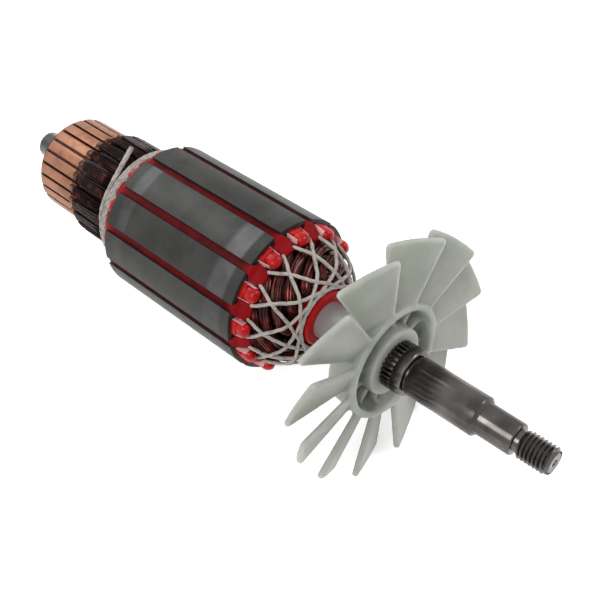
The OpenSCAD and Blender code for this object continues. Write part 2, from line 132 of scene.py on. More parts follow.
def polar(x: float, radius: float, angle: float) -> Vector:
    """A point of the shaft frame.

    Args:
        x: place along the shaft.
        radius: distance from the shaft's axis.
        angle: degrees from the top, turning towards -Y.

    Returns:
        The point.
    """
    a = math.radians(angle)
    return Vector((x, -radius * math.sin(a), radius * math.cos(a)))


def about_shaft(angle: float) -> Matrix:
    """A turn about the shaft, in degrees."""
    return Matrix.Rotation(math.radians(angle), 4, "X")


def slot_turn(place: float) -> Matrix:
    """A turn about the shaft to a slot of the core, or to a tooth at a half."""
    return about_shaft(CORE_TURN + place * SLOT_PITCH)


def smooth_rows(rows: Sequence[Sequence[float]], steps: int) -> list[list[float]]:
    """Runs a Catmull-Rom curve through rows of numbers.

    Args:
        rows: the rows that the curve passes through.
        steps: new rows for each span.

    Returns:
        The rows along the curve, both ends included.
    """
    out = []
    last = len(rows) - 1
    for i in range(last):
        a, b = rows[max(i - 1, 0)], rows[i]
        c, d = rows[i + 1], rows[min(i + 2, last)]
        for k in range(steps):
            t = k / steps
            row = []
            for p, q, r, s in zip(a, b, c, d):
                curve = (2 * p - 5 * q + 4 * r - s) * t * t + (3 * q - p - 3 * r + s) * t**3
                row.append(0.5 * (2 * q + (r - p) * t + curve))
            out.append(row)
    out.append(list(rows[last]))
    return out


# ----------------------------------------------------------------------- materials


class Tree:
    """A node tree under construction."""

    def __init__(self, tree: bpy.types.NodeTree) -> None:
        """Keeps the tree."""
        self.tree = tree

    def link(self, source: Any, target: Any) -> None:
        """Joins two sockets."""
        self.tree.links.new(source, target)

    def node(self, kind: str, **inputs: Any) -> Any:
        """Adds a node.

        Args:
            kind: the node's type name, without its ShaderNode prefix.
            **inputs: values or sockets for its inputs, with _ for a space.

        Returns:
            The node.
        """
        new = self.tree.nodes.new("ShaderNode" + kind)
        for key, value in inputs.items():
            self.feed(new.inputs[key.replace("_", " ")], value)
        return new

    def feed(self, target: Any, value: Any) -> None:
        """Sets an input to a value or joins it to a socket."""
        if isinstance(value, bpy.types.NodeSocket):
            self.link(value, target)
        elif isinstance(value, tuple) and len(value) == 3 and target.type == "RGBA":
            target.default_value = (*value, 1.0)
        else:
            target.default_value = value

    def math(self, operation: str, a: Any, b: Any = 0.0, c: Any = 0.0) -> Any:
        """A Math node's result."""
        new = self.tree.nodes.new("ShaderNodeMath")
        new.operation = operation
        for target, value in zip(new.inputs, (a, b, c)):
            self.feed(target, value)
        return new.outputs[0]

    def times(self, a: Any, b: Any) -> Any:
        """The product of two values."""
        return self.math("MULTIPLY", a, b)

    def spread(self, factor: Any, swing: float, base: Any) -> Any:
        """A factor's swing on top of a base value."""
        return self.math("MULTIPLY_ADD", factor, swing, base)

    def seen(self) -> Any:
        """1 for rays from the camera, off shiny things and through clear ones, else 0."""
        rays = self.node("LightPath").outputs
        clear = self.math("MAXIMUM", rays["Is Glossy Ray"], rays["Is Transmission Ray"])
        return self.math("MAXIMUM", rays["Is Camera Ray"], clear)


class Recipe(Tree):
    """A material with a Principled shader."""

    def __init__(self, name: str) -> None:
        """Starts the material."""
        self.material = bpy.data.materials.new(name)
        self.material.use_nodes = True
        super().__init__(self.material.node_tree)
        self.tree.nodes.clear()
        self.shader = self.node("BsdfPrincipled")
        self.node("OutputMaterial", Surface=self.shader.outputs[0])
        self._place = None

    def place(self) -> Any:
        """Coordinates of the shaft frame in millimetres, for any piece."""
        if self._place is None:
            inverse = POSE.matrix().inverted()
            self._place = self.node(
                "Mapping",
                Vector=self.node("TexCoord").outputs["Object"],
                Location=inverse.to_translation(),
                Rotation=inverse.to_euler("XYZ"),
                Scale=(1 / MM,) * 3,
            ).outputs[0]
        return self._place

    def _scaled(self, scale: Triple) -> Any:
        """Multiplies the place by a scale."""
        new = self.tree.nodes.new("ShaderNodeVectorMath")
        new.operation = "MULTIPLY"
        self.link(self.place(), new.inputs[0])
        new.inputs[1].default_value = scale
        return new.outputs[0]

    def noise(self, scale: float, detail: float = 3.0, stretch: Triple = (1.0, 1.0, 1.0)) -> Any:
        """A noise value with a mean of about one half.

        Args:
            scale: cells in a millimetre.
            detail: octaves.
            stretch: scale along and across the shaft.

        Returns:
            The factor socket.
        """
        vector = self.place() if stretch == (1.0, 1.0, 1.0) else self._scaled(stretch)
        return self.node("TexNoise", Vector=vector, Scale=scale, Detail=detail).outputs["Fac"]

    def axes(self) -> Any:
        """The sockets of x, y and z in the shaft frame."""
        return self.node("SeparateXYZ", Vector=self.place()).outputs

    def ramp(self, factor: Any, *stops: tuple[float, Any]) -> Any:
        """A colour ramp.

        Args:
            factor: the socket that drives it.
            *stops: places with a colour, or with a grey level.

        Returns:
            The colour socket.
        """
        new = self.node("ValToRGB", Fac=factor)
        points = new.color_ramp.elements
        while len(points) < len(stops):
            points.new(0.5)
        for point, (position, value) in zip(points, stops):
            point.position = position
            shade = (value,) * 3 if isinstance(value, (int, float)) else value
            point.color = (*shade, 1.0)
        return new.outputs["Color"]

    def mix(self, factor: Any, a: Any, b: Any) -> Any:
        """Mixes two colours."""
        new = self.tree.nodes.new("ShaderNodeMix")
        new.data_type = "RGBA"
        self.feed(new.inputs[0], factor)
        self.feed(new.inputs[6], a)
        self.feed(new.inputs[7], b)
        return new.outputs[2]

    def bump(self, height: Any, strength: float, depth: float, under: Any = None) -> Any:
        """A bump from a height in millimetres.

        Args:
            height: the height socket.
            strength: 0 to 1.
            depth: distance that a height of 1 stands for.
            under: another bump's normal.

        Returns:
            The normal socket.
        """
        new = self.node("Bump", Height=height, Strength=strength, Distance=depth * MM)
        if under is not None:
            self.link(under, new.inputs["Normal"])
        return new.outputs[0]

    def dress(self, **inputs: Any) -> bpy.types.Material:
        """Feeds the Principled shader and gives the material.

        Args:
            **inputs: values or sockets for its inputs, with _ for a space.

        Returns:
            The finished material.
        """
        for key, value in inputs.items():
            self.feed(self.shader.inputs[key.replace("_", " ")], value)
        return self.material


@dataclass(frozen=True)
class GroundSteel:
    """Cylindrically ground steel: fine hoops, a few scratches, a lighter and duller stretch between the
    core and the fan, and a darker rear journal.
    """

    light: Color = (0.12, 0.11, 0.103)
    dark: Color = (0.055, 0.05, 0.047)
    bright: Color = (0.62, 0.57, 0.52)
    # the lighter tone given to the shaft between the core and the fan
    clean: Color = (0.4, 0.395, 0.39)
    # the darker tone of the rear journal
    rear_dark: Color = (0.075, 0.09, 0.085)
    hoop_scale: float = 9.0
    hoop_share: float = 0.25
    scratches: Stops = ((0.0, 0.0), (0.7, 0.0), (0.74, 1.0))
    scratch_share: float = 0.3
    rear_dark_behind: float = -80.0
    rear_dark_share: float = 0.8
    between_pale_share: float = 0.9
    between_metal_drop: float = 0.55

    def build(self) -> bpy.types.Material:
        """The material."""
        r = Recipe("ground steel")
        x = r.axes()[0]
        hoops = r.noise(self.hoop_scale, 4.0, (1.0, 0.06, 0.06))
        smudge = r.noise(0.16, 2.0)
        scratch = r.ramp(r.noise(1.9, 2.0, (0.3, 1.0, 1.0)), *self.scratches)
        tone = r.ramp(smudge, (0.35, self.dark), (0.65, self.light))
        behind = r.math("LESS_THAN", x, self.rear_dark_behind)
        between = r.times(r.math("LESS_THAN", x, FAN_FRONT), r.math("GREATER_THAN", x, 0.0))
        # between the core and the fan the shaft is made lighter, rougher and less metallic
        tone = r.mix(r.times(between, self.between_pale_share), tone, self.clean)
        # behind x = -80 the shaft takes the darker rear tone
        tone = r.mix(r.times(behind, self.rear_dark_share), tone, self.rear_dark)
        ground = r.mix(r.times(hoops, self.hoop_share), tone, self.light)
        colour = r.mix(r.times(scratch, self.scratch_share), ground, self.bright)
        rough = r.spread(between, 0.16, r.spread(hoops, 0.1, 0.15))
        normal = r.bump(scratch, 0.12, 0.02, r.bump(hoops, 0.25, 0.015))
        metal = r.spread(between, -self.between_metal_drop, 1.0)
        return r.dress(Base_Color=colour, Metallic=metal, Roughness=rough, Normal=normal)


@dataclass(frozen=True)
class CoreSteel:
    """Turned edges of stacked sheet: smooth grey, open lines at the front, and painted highlights in
    patches on random teeth near both ends.
    """

    skin: Color = (0.03, 0.031, 0.029)
    worn: Color = (0.045, 0.046, 0.043)
    # painted highlight: this bright tone fills the highlight patches on the teeth
    highlight_paint: Color = (0.15, 0.15, 0.155)
    brown: Color = (0.12, 0.09, 0.06)
    gap: Color = (0.01, 0.01, 0.01)
    sheet: float = 0.62
    groove: Stops = ((0.35, 0.0), (0.9, 1.0))
    groove_share: float = 0.85
    open_lines: Stops = ((0.0, 1.0), (0.05, 0.9), (0.08, 0.07), (0.9, 0.05), (1.0, 0.25))
    # where the painted highlights lie along the core, near both ends
    highlight_bands: Stops = (
        (0.06, 0.0),
        (0.075, 1.0),
        (0.17, 0.85),
        (0.2, 0.0),
        (0.84, 0.0),
        (0.86, 0.6),
        (0.92, 0.5),
        (0.94, 0.0),
    )
    highlight_teeth: Stops = ((0.3, 0.15), (0.7, 1.0))
    highlight_mottle: Stops = ((0.3, 0.25), (0.7, 0.75))
    rust_spots: Stops = ((0.58, 0.0), (0.72, 1.0))
    rust_share: float = 0.12
    pick_step: float = 12.99
    pick_start: float = 0.7
    pick_gain: float = 43.7

    def tooth_pick(self, r: Recipe, y: Any, z: Any) -> Any:
        """A steady chance value for each tooth of the core.

        Args:
            r: the material.
            y: the y socket.
            z: the z socket.

        Returns:
            The value's socket.
        """
        angle = r.math("ARCTAN2", y, z)
        tooth = r.math("FLOOR", r.spread(angle, SLOT_COUNT / (2 * math.pi), CORE_TURN / SLOT_PITCH))
        wave = r.math("SINE", r.spread(tooth, self.pick_step, self.pick_start))
        return r.math("FRACT", r.times(wave, self.pick_gain))

    def build(self) -> bpy.types.Material:
        """The material."""
        r = Recipe("core steel")
        x, y, z = r.axes()
        wave = r.math("SINE", r.times(x, 2 * math.pi / self.sheet))
        along = r.math("DIVIDE", x, -CORE_LENGTH)
        lines = r.times(r.ramp(wave, *self.groove), r.ramp(along, *self.open_lines))
        mottle = r.noise(0.12, 3.0)
        teeth = r.ramp(self.tooth_pick(r, y, z), *self.highlight_teeth)
        highlight_mask = r.times(r.ramp(along, *self.highlight_bands), teeth)
        grain = r.noise(3.2, 3.0, (1.0, 0.35, 0.35))
        tone = r.ramp(mottle, (0.36, self.skin), (0.64, self.worn))
        rust = r.ramp(r.noise(0.7, 4.0), *self.rust_spots)
        tone = r.mix(r.times(rust, self.rust_share), tone, self.brown)
        # painted highlights, on random teeth near both ends of the core
        tone = r.mix(r.times(highlight_mask, r.ramp(mottle, *self.highlight_mottle)), tone, self.highlight_paint)
        colour = r.mix(r.times(lines, self.groove_share), tone, self.gap)
        rough = r.spread(grain, 0.2, 0.38)
        normal = r.bump(lines, 0.8, 0.08, r.bump(grain, 0.2, 0.02))
        return r.dress(
            Base_Color=colour, Metallic=0.6, Roughness=rough, Normal=normal, Specular_IOR_Level=0.35
        )


@dataclass(frozen=True)
class WedgeStrip:
    """Matt maroon fibre strip, with painted light on the ends that stand out of the core."""

    middle: Color = (0.105, 0.0035, 0.006)
    shade: Color = (0.055, 0.002, 0.0035)
    # painted light: the brighter tone of the strip's ends outside the core
    end: Color = (0.25, 0.004, 0.007)

    def build(self) -> bpy.types.Material:
        """The material."""
        r = Recipe("wedge strip")
        past = r.math("ABSOLUTE", r.spread(r.axes()[0], 2 / CORE_LENGTH, 1.0))
        tone = r.ramp(r.noise(0.25, 3.0), (0.35, self.shade), (0.65, self.middle))
        # painted light: the ends past the core are brightened, as lit out of the slot's shade
        colour = r.mix(r.ramp(past, (0.9, 0.0), (1.0, 1.0)), tone, self.end)
        fibre = r.noise(4.0, 3.0, (0.15, 1.0, 1.0))
        rough = r.spread(fibre, 0.2, 0.45)
        normal = r.bump(fibre, 0.3, 0.05)
        return r.dress(Base_Color=colour, Roughness=rough, Normal=normal, Specular_IOR_Level=0.08)


@dataclass(frozen=True)
class GlossPlastic:
    """A glossy coloured resin with slight pooling."""

    name: str
    colour: Color
    deep: Color
    roughness: float = 0.2
    wrinkle: float = 0.05
    coat: float = 0.1
    shine: float = 0.16

    def build(self) -> bpy.types.Material:
        """The material."""
        r = Recipe(self.name)
        pool = r.noise(0.55, 3.0)
        colour = r.ramp(pool, (0.3, self.deep), (0.6, self.colour))
        rough = r.spread(r.noise(1.6, 3.0), 0.14, self.roughness - 0.05)
        normal = r.bump(r.noise(1.4, 2.0), self.wrinkle, 0.12)
        return r.dress(
            Base_Color=colour,
            Roughness=rough,
            Normal=normal,
            Subsurface_Weight=0.12,
            Subsurface_Scale=0.001,
            Specular_IOR_Level=self.shine,
            Coat_Weight=self.coat,
            Coat_Roughness=0.15,
        )


@dataclass(frozen=True)
class FilmFinish:
    """Thin insulating film, pinkish white and half clear."""

    colour: Color = (0.84, 0.56, 0.55)
    deep: Color = (0.7, 0.36, 0.36)

    def build(self) -> bpy.types.Material:
        """The material."""
        r = Recipe("liner film")
        colour = r.ramp(r.noise(0.5, 3.0), (0.35, self.deep), (0.6, self.colour))
        rough = r.spread(r.noise(1.0, 2.0), 0.2, 0.25)
        return r.dress(Base_Color=colour, Roughness=rough, Transmission_Weight=0.25)


@dataclass(frozen=True)
class EnamelledWire:
    """Copper wire under dark red-brown enamel and dipping varnish, with painted light and shade in
    random patches of dark, lit and highlight tones.
    """

    name: str = "enamelled wire"
    dark: Color = (0.022, 0.003, 0.0025)
    # painted light: the lit tone and the highlight tone below are lit and highlighted copies of the
    # enamel
    lit: Color = (0.085, 0.011, 0.008)
    painted_glint: Color = (0.22, 0.03, 0.016)
    gloss: float = 0.2
    shine: float = 0.3

    def build(self) -> bpy.types.Material:
        """The material."""
        r = Recipe(self.name)
        light_patch = r.noise(0.45, 3.0)
        along = r.noise(1.4, 2.0)
        # painted light and shade: random patches of the dark, lit and highlight tones
        colour = r.ramp(light_patch, (0.36, self.dark), (0.54, self.lit), (0.76, self.painted_glint))
        rough = r.spread(along, 0.2, 0.2)
        return r.dress(
            Base_Color=colour,
            Metallic=0.45,
            Roughness=rough,
            Specular_IOR_Level=self.shine,
            Coat_Weight=self.gloss,
            Coat_Roughness=0.12,
            Normal=r.bump(along, 0.12, 0.08),
        )


@dataclass(frozen=True)
class CommutatorCopper:
    """Turned copper, salmon where clean and browned where it is not, with painted shade on the bar sides
    down in the slots.
    """

    clean: Color = (0.36, 0.155, 0.09)
    brown: Color = (0.21, 0.085, 0.05)
    bright: Color = (0.44, 0.22, 0.14)
    # painted shade: the dark tone of the bar sides in the slots between bars
    groove: Color = (0.045, 0.017, 0.009)
    varnish: Color = (0.2, 0.075, 0.035)
    smear: Color = (0.03, 0.009, 0.006)
    track_r: float = 14.0
    hook_start: float = -73.1
    sunk: float = 0.1
    slot_shade_share: float = 0.92

    def build(self) -> bpy.types.Material:
        """The material."""
        r = Recipe("commutator copper")
        x, y, z = r.axes()
        radius = r.math("SQRT", r.math("ADD", r.times(y, y), r.times(z, z)))
        deep = r.math("LESS_THAN", radius, self.track_r - self.sunk)
        hoops = r.noise(5.5, 3.0, (1.0, 0.1, 0.1))
        stain = r.noise(0.3, 3.0)
        tone = r.ramp(stain, (0.32, self.brown), (0.55, self.clean))
        colour = r.mix(r.times(hoops, 0.4), tone, self.bright)
        dip = r.ramp(r.noise(0.8, 3.0), (0.42, self.smear), (0.6, self.varnish))
        colour = r.mix(r.math("GREATER_THAN", x, self.hook_start), colour, dip)
        # painted shade: copper below the track, on the sides of the bars, is darkened
        colour = r.mix(r.times(deep, self.slot_shade_share), colour, self.groove)
        rough = r.spread(hoops, 0.2, 0.36)
        normal = r.bump(hoops, 0.3, 0.03)
        return r.dress(
            Base_Color=colour, Metallic=0.6, Roughness=rough, Normal=normal, Specular_IOR_Level=0.3
        )


@dataclass(frozen=True)
class CordFinish:
    """Waxed cotton cord in a random mix of grey and an off-white as bright as a highlight, so partly
    soil tone and partly painted highlight.
    """

    # off-white tone as bright as a highlight on the cord: partly painted highlight
    clean: Color = (0.43, 0.395, 0.36)
    grey: Color = (0.24, 0.215, 0.19)

    def build(self) -> bpy.types.Material:
        """The material."""
        r = Recipe("waxed cord")
        soil_and_highlight = r.noise(0.6, 4.0)
        fuzz = r.noise(6.0, 3.0)
        # random soil tone between grey and the off-white of a painted highlight
        colour = r.ramp(soil_and_highlight, (0.3, self.grey), (0.55, self.clean))
        return r.dress(
            Base_Color=colour,
            Roughness=r.spread(fuzz, 0.2, 0.5),
            Normal=r.bump(fuzz, 0.4, 0.06),
            Sheen_Weight=0.25,
        )


@dataclass(frozen=True)
class Nylon:
    """Natural moulded nylon, milky and slightly green in its depth."""

    surface: Color = (0.345, 0.352, 0.335)
    depth: Color = (0.285, 0.295, 0.275)
    reach: float = 0.006

    def build(self) -> bpy.types.Material:
        """The material."""
        r = Recipe("natural nylon")
        colour = r.ramp(r.noise(0.1, 3.0), (0.35, self.depth), (0.65, self.surface))
        skin = r.noise(1.1, 3.0)
        return r.dress(
            Base_Color=colour,
            Roughness=r.spread(skin, 0.14, 0.34),
            Normal=r.bump(skin, 0.06, 0.08),
            Specular_IOR_Level=0.3,
            Subsurface_Weight=1.0,
            Subsurface_Radius=(1.0, 1.05, 0.85),
            Subsurface_Scale=self.reach,
        )


@dataclass(frozen=True)
class PaleFloor:
    """A studio floor that looks white to every seeing ray and keeps shadows."""

    lift: float = 0.5

    def build(self) -> bpy.types.Material:
        """The material."""
        r = Recipe("studio floor")
        return r.dress(
            Base_Color=(0.92, 0.92, 0.92),
            Roughness=0.9,
            Emission_Color=(1.0, 1.0, 1.0),
            Emission_Strength=r.times(r.seen(), self.lift),
        )


class Finishes:
    """Every finish of the armature, built once."""

    def __init__(self) -> None:
        """Builds the materials."""
        self.steel = GroundSteel().build()
        self.core = CoreSteel().build()
        self.red = GlossPlastic(
            "red resin", colour=(0.56, 0.008, 0.008), deep=(0.28, 0.004, 0.006), roughness=0.26
        ).build()
        self.sleeve = GlossPlastic(
            "red sleeve",
            colour=(0.42, 0.007, 0.007),
            deep=(0.3, 0.005, 0.005),
            roughness=0.4,
            coat=0.03,
            shine=0.1,
        ).build()
        self.wedge = WedgeStrip().build()
        self.film = FilmFinish().build()
        self.wire = EnamelledWire().build()
        self.lead = EnamelledWire(
            "varnished leads",
            dark=(0.004, 0.0013, 0.0015),
            lit=(0.012, 0.0032, 0.0036),
            painted_glint=(0.09, 0.019, 0.012),
            gloss=0.02,
            shine=0.1,
        ).build()
        # painted shade: the inner wires are far darker than the coil wire, so the gaps between coils
        # look shaded
        self.heart = EnamelledWire(
            "shaded winding heart",
            dark=(0.004, 0.001, 0.001),
            lit=(0.012, 0.002, 0.002),
            painted_glint=(0.03, 0.005, 0.004),
            gloss=0.02,
            shine=0.15,
        ).build()
        self.copper = CommutatorCopper().build()
        self.moulding = GlossPlastic(
            "brown moulding",
            colour=(0.1, 0.035, 0.022),
            deep=(0.04, 0.014, 0.01),
            roughness=0.5,
            wrinkle=0.2,
        ).build()
        self.cord = CordFinish().build()
        self.nylon = Nylon().build()


# ----------------------------------------------------------------------- workbench


class Workbench:
    """Makes and lays down pieces, fixes them to the body and hides the frame's nodes that they stand
    for.
    """

    def __init__(self, frame: dict[str, Any]) -> None:
        """Keeps the frame and the finishes.
        """
        self.frame = frame
        self.finishes = Finishes()
        self.count = 0

    def dress_node(self, node: str, material: bpy.types.Material) -> None:
        """Gives a node of the frame its finish."""
        slots = self.frame["nodes"][node].data.materials
        slots.clear()
        slots.append(material)

    def finish(
        self,
        name: str,
        bm: bmesh.types.BMesh,
        material: bpy.types.Material,
        nodes: Iterable[str],
        sharp_deg: float = 38.0,
    ) -> bpy.types.Object:
        """Lays a piece down and registers it.

        Args:
            name: the piece's name.
            bm: its shape in the shaft frame, in millimetres; it is freed.
            material: its finish.
            nodes: the frame's nodes that it stands for.
            sharp_deg: angle past which an edge stays sharp.

        Returns:
            The new object.
        """
        mesh = meshed(name, bm)
        mesh.transform(POSE.matrix())
        mesh.shade_smooth()
        mesh.set_sharp_from_angle(angle=math.radians(sharp_deg))
        mesh.materials.append(material)
        piece = linked(name, mesh)
        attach(piece, BODY)
        nodes = list(nodes)
        if nodes:
            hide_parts(*nodes)
        self.count += 1
        LOG.info("%s: %d faces", name, len(mesh.polygons))
        return piece


def linked(name: str, data: Any) -> bpy.types.Object:
    """Puts a new object into the scene."""
    new = bpy.data.objects.new(name, data)
    bpy.context.scene.collection.objects.link(new)
    return new


def meshed(name: str, bm: bmesh.types.BMesh) -> bpy.types.Mesh:
    """Turns a working mesh into mesh data and frees it."""
    mesh = bpy.data.meshes.new(name)
    bm.to_mesh(mesh)
    bm.free()
    return mesh


def add_strands(
    bm: bmesh.types.BMesh,
    paths: Sequence[Sequence[Vector]],
    radius: float | Sequence[float],
    cyclic: bool = False,
) -> None:
    """Sweeps six-sided strands along paths and adds them to a mesh.

    Args:
        bm: the mesh.
        paths: the strands' middle lines.
        radius: one radius for all strands, or one for each.
        cyclic: whether each strand closes on itself.
    """
    curve = bpy.data.curves.new("strands", "CURVE")
    curve.dimensions = "3D"
    curve.bevel_depth = 1.0
    curve.bevel_resolution = 1
    curve.use_fill_caps = not cyclic
    curve.twist_mode = "MINIMUM"
    for i, path in enumerate(paths):
        size = radius if isinstance(radius, (int, float)) else radius[i]
        spline = curve.splines.new("POLY")
        spline.points.add(len(path) - 1)
        spline.use_cyclic_u = cyclic
        for point, place in zip(spline.points, path):
            point.co = (*place, 1.0)
            point.radius = size
    holder = bpy.data.objects.new("strands", curve)
    mesh = bpy.data.meshes.new_from_object(holder)
    bm.from_mesh(mesh)
    bpy.data.objects.remove(holder)
    bpy.data.curves.remove(curve)
    bpy.data.meshes.remove(mesh)


def plied(
    path: Sequence[Vector], plies: int, offset: float, pitch: float, start: float = 0.0
) -> list[list[Vector]]:
    """Twists plies round a path.

    Args:
        path: the cord's middle line.
        plies: how many plies.
        offset: distance of a ply's middle from the cord's.
        pitch: length of one full twist.
        start: angle of the first ply at the start, in radians.

    Returns:
        The plies' middle lines.
    """
    out: list[list[Vector]] = [[] for _ in range(plies)]
    side = Vector(PLY_SIDE)
    length = 0.0
    for i, place in enumerate(path):
        tangent = (path[min(i + 1, len(path) - 1)] - path[max(i - 1, 0)]).normalized()
        side = (side - side.dot(tangent) * tangent).normalized()
        other = tangent.cross(side)
        length += (place - path[i - 1]).length if i else 0.0
        for k, ply in enumerate(out):
            a = start + 2 * math.pi * (length / pitch + k / plies)
            ply.append(place + (side * math.cos(a) + other * math.sin(a)) * offset)
    return out


def resampled(path: Sequence[Vector], step: float) -> list[Vector]:
    """Points at even steps along a path.

    Args:
        path: the path.
        step: distance between points.

    Returns:
        The new path, with both ends.
    """
    out = [path[0].copy()]
    left = step
    for a, b in zip(path, path[1:]):
        length = (b - a).length
        done = 0.0
        while length - done >= left:
            done += left
            out.append(a.lerp(b, done / length))
            left = step
        left -= length - done
    if (out[-1] - path[-1]).length > step * END_SHARE:
        out.append(path[-1].copy())
    return out


def rounded(
    part: bmesh.types.BMesh, geom: list[Any], offset: float, segments: int = 2, affect: str = "EDGES"
) -> None:
    """Bevels edges or corners to a round.

    Args:
        part: the mesh.
        geom: its edges or corners.
        offset: the bevel's offset.
        segments: the bevel's segments.
        affect: EDGES or VERTICES.
    """
    bmesh.ops.bevel(
        part,
        geom=geom,
        offset=offset,
        segments=segments,
        profile=0.5,
        affect=affect,
        material=-1,
        clamp_overlap=True,
    )


def sliced(part: bmesh.types.BMesh, x: float, side: int = 1, clear: bool = False) -> None:
    """Cuts a mesh across the shaft.

    Args:
        part: the mesh.
        x: the cut's place.
        side: 1 or -1, the way that the cut faces.
        clear: whether what lies on that side is taken away.
    """
    geom = list(part.verts) + list(part.edges) + list(part.faces)
    bmesh.ops.bisect_plane(part, geom=geom, plane_co=(x, 0, 0), plane_no=(side, 0, 0), clear_outer=clear)


def turned(part: bmesh.types.BMesh, matrix: Matrix) -> bmesh.types.BMesh:
    """Moves a mesh by a matrix and gives it back."""
    bmesh.ops.transform(part, matrix=matrix, verts=part.verts)
    return part


def mirrored(part: bmesh.types.BMesh, matrix: Matrix) -> bmesh.types.BMesh:
    """Moves a mesh by a mirroring matrix, with its faces still outwards."""
    turned(part, matrix)
    bmesh.ops.reverse_faces(part, faces=part.faces)
    return part


def swept(part: bmesh.types.BMesh, geom: list[Any], angle: float, steps: int, **options: Any) -> None:
    """Spins geometry about the shaft.

    Args:
        part: the mesh.
        geom: what is spun.
        angle: how far, in radians.
        steps: divisions of the angle.
        **options: further options of the spin.
    """
    bmesh.ops.spin(part, geom=geom, cent=(0, 0, 0), axis=(1, 0, 0), angle=angle, steps=steps, **options)


def spun(bm: bmesh.types.BMesh, profile: Profile, steps: int, rounding: float) -> None:
    """Turns a closed profile about the shaft.

    Args:
        bm: the mesh that it is added to.
        profile: (x, radius) corners of the closed profile; two on the axis close a solid one.
        steps: divisions of the full turn.
        rounding: offset of the corners' bevel.
    """
    part = bmesh.new()
    verts = [part.verts.new((x, 0.0, r)) for x, r in profile]
    for pair in zip(verts, verts[1:] + verts[:1]):
        part.edges.new(pair)
    rounded(part, [v for v in verts if v.co.z > ON_AXIS], rounding, affect="VERTICES")
    solid = [e for e in part.edges if max(v.co.z for v in e.verts) > ON_AXIS]
    bmesh.ops.delete(part, geom=[e for e in part.edges if e not in solid], context="EDGES_FACES")
    swept(part, list(part.verts) + list(part.edges), 2 * math.pi, steps, use_merge=True)
    bmesh.ops.remove_doubles(part, verts=part.verts, dist=WELD)
    bmesh.ops.recalc_face_normals(part, faces=part.faces)
    absorb(bm, part)


def blended(bm: bmesh.types.BMesh, grain: float, rounds: int) -> bmesh.types.BMesh:
    """Fuses overlapping closed shapes into one skin and softens it.

    Args:
        bm: the shapes; it is freed.
        grain: size of the new skin's faces.
        rounds: rounds of smoothing.

    Returns:
        The new mesh.
    """
    mesh = meshed("raw", bm)
    holder = linked("raw", mesh)
    remesh = holder.modifiers.new("fuse", "REMESH")
    remesh.mode = "VOXEL"
    remesh.voxel_size = grain
    soften = holder.modifiers.new("soften", "SMOOTH")
    soften.factor = 0.5
    soften.iterations = rounds
    bpy.context.view_layer.update()
    graph = bpy.context.evaluated_depsgraph_get()
    result = bpy.data.meshes.new_from_object(holder.evaluated_get(graph))
    out = bmesh.new()
    out.from_mesh(result)
    bpy.data.objects.remove(holder)
    bpy.data.meshes.remove(mesh)
    bpy.data.meshes.remove(result)
    return out


def absorb(bm: bmesh.types.BMesh, part: bmesh.types.BMesh, matrix: Matrix | None = None) -> None:
    """Adds a part's mesh to another, turned by a matrix, and frees the part."""
    if matrix is not None:
        turned(part, matrix)
    mesh = meshed("part", part)
    bm.from_mesh(mesh)
    bpy.data.meshes.remove(mesh)


def plate(outline: Profile, thickness: float, rounding: float, segments: int) -> bmesh.types.BMesh:
    """A plate with rounded edges, in the Y-Z plane about x = 0.

    Args:
        outline: its (y, z) corners.
        thickness: its thickness along x.
        rounding: radius of its edges.
        segments: bevel segments.

    Returns:
        The plate's mesh.
    """
    part = bmesh.new()
    face = part.faces.new([part.verts.new((-thickness / 2, y, z)) for y, z in outline])
    raised = bmesh.ops.extrude_face_region(part, geom=[face])["geom"]
    tops = [g for g in raised if isinstance(g, bmesh.types.BMVert)]
    bmesh.ops.translate(part, verts=tops, vec=(thickness, 0, 0))
    bmesh.ops.recalc_face_normals(part, faces=part.faces)
    rim = [e for e in part.edges if abs(e.verts[0].co.x - e.verts[1].co.x) < ON_AXIS]
    rounded(part, rim, rounding, segments)
    return part


def block(low: Triple, high: Triple, rounding: float, segments: int = 2) -> bmesh.types.BMesh:
    """A box with rounded edges, or sharp ones where the rounding is nought.

    Args:
        low: its lowest corner.
        high: its highest corner.
        rounding: radius of its edges.
        segments: bevel segments.

    Returns:
        The box's mesh.
    """
    part = bmesh.new()
    size = Vector(high) - Vector(low)
    middle = (Vector(high) + Vector(low)) / 2
    place = Matrix.Translation(middle) @ Matrix.Diagonal((*size, 1.0))
    bmesh.ops.create_cube(part, size=1.0, matrix=place)
    if rounding:
        rounded(part, list(part.edges), rounding, segments)
    return part


# ---------------------------------------------------------------------------- shaft


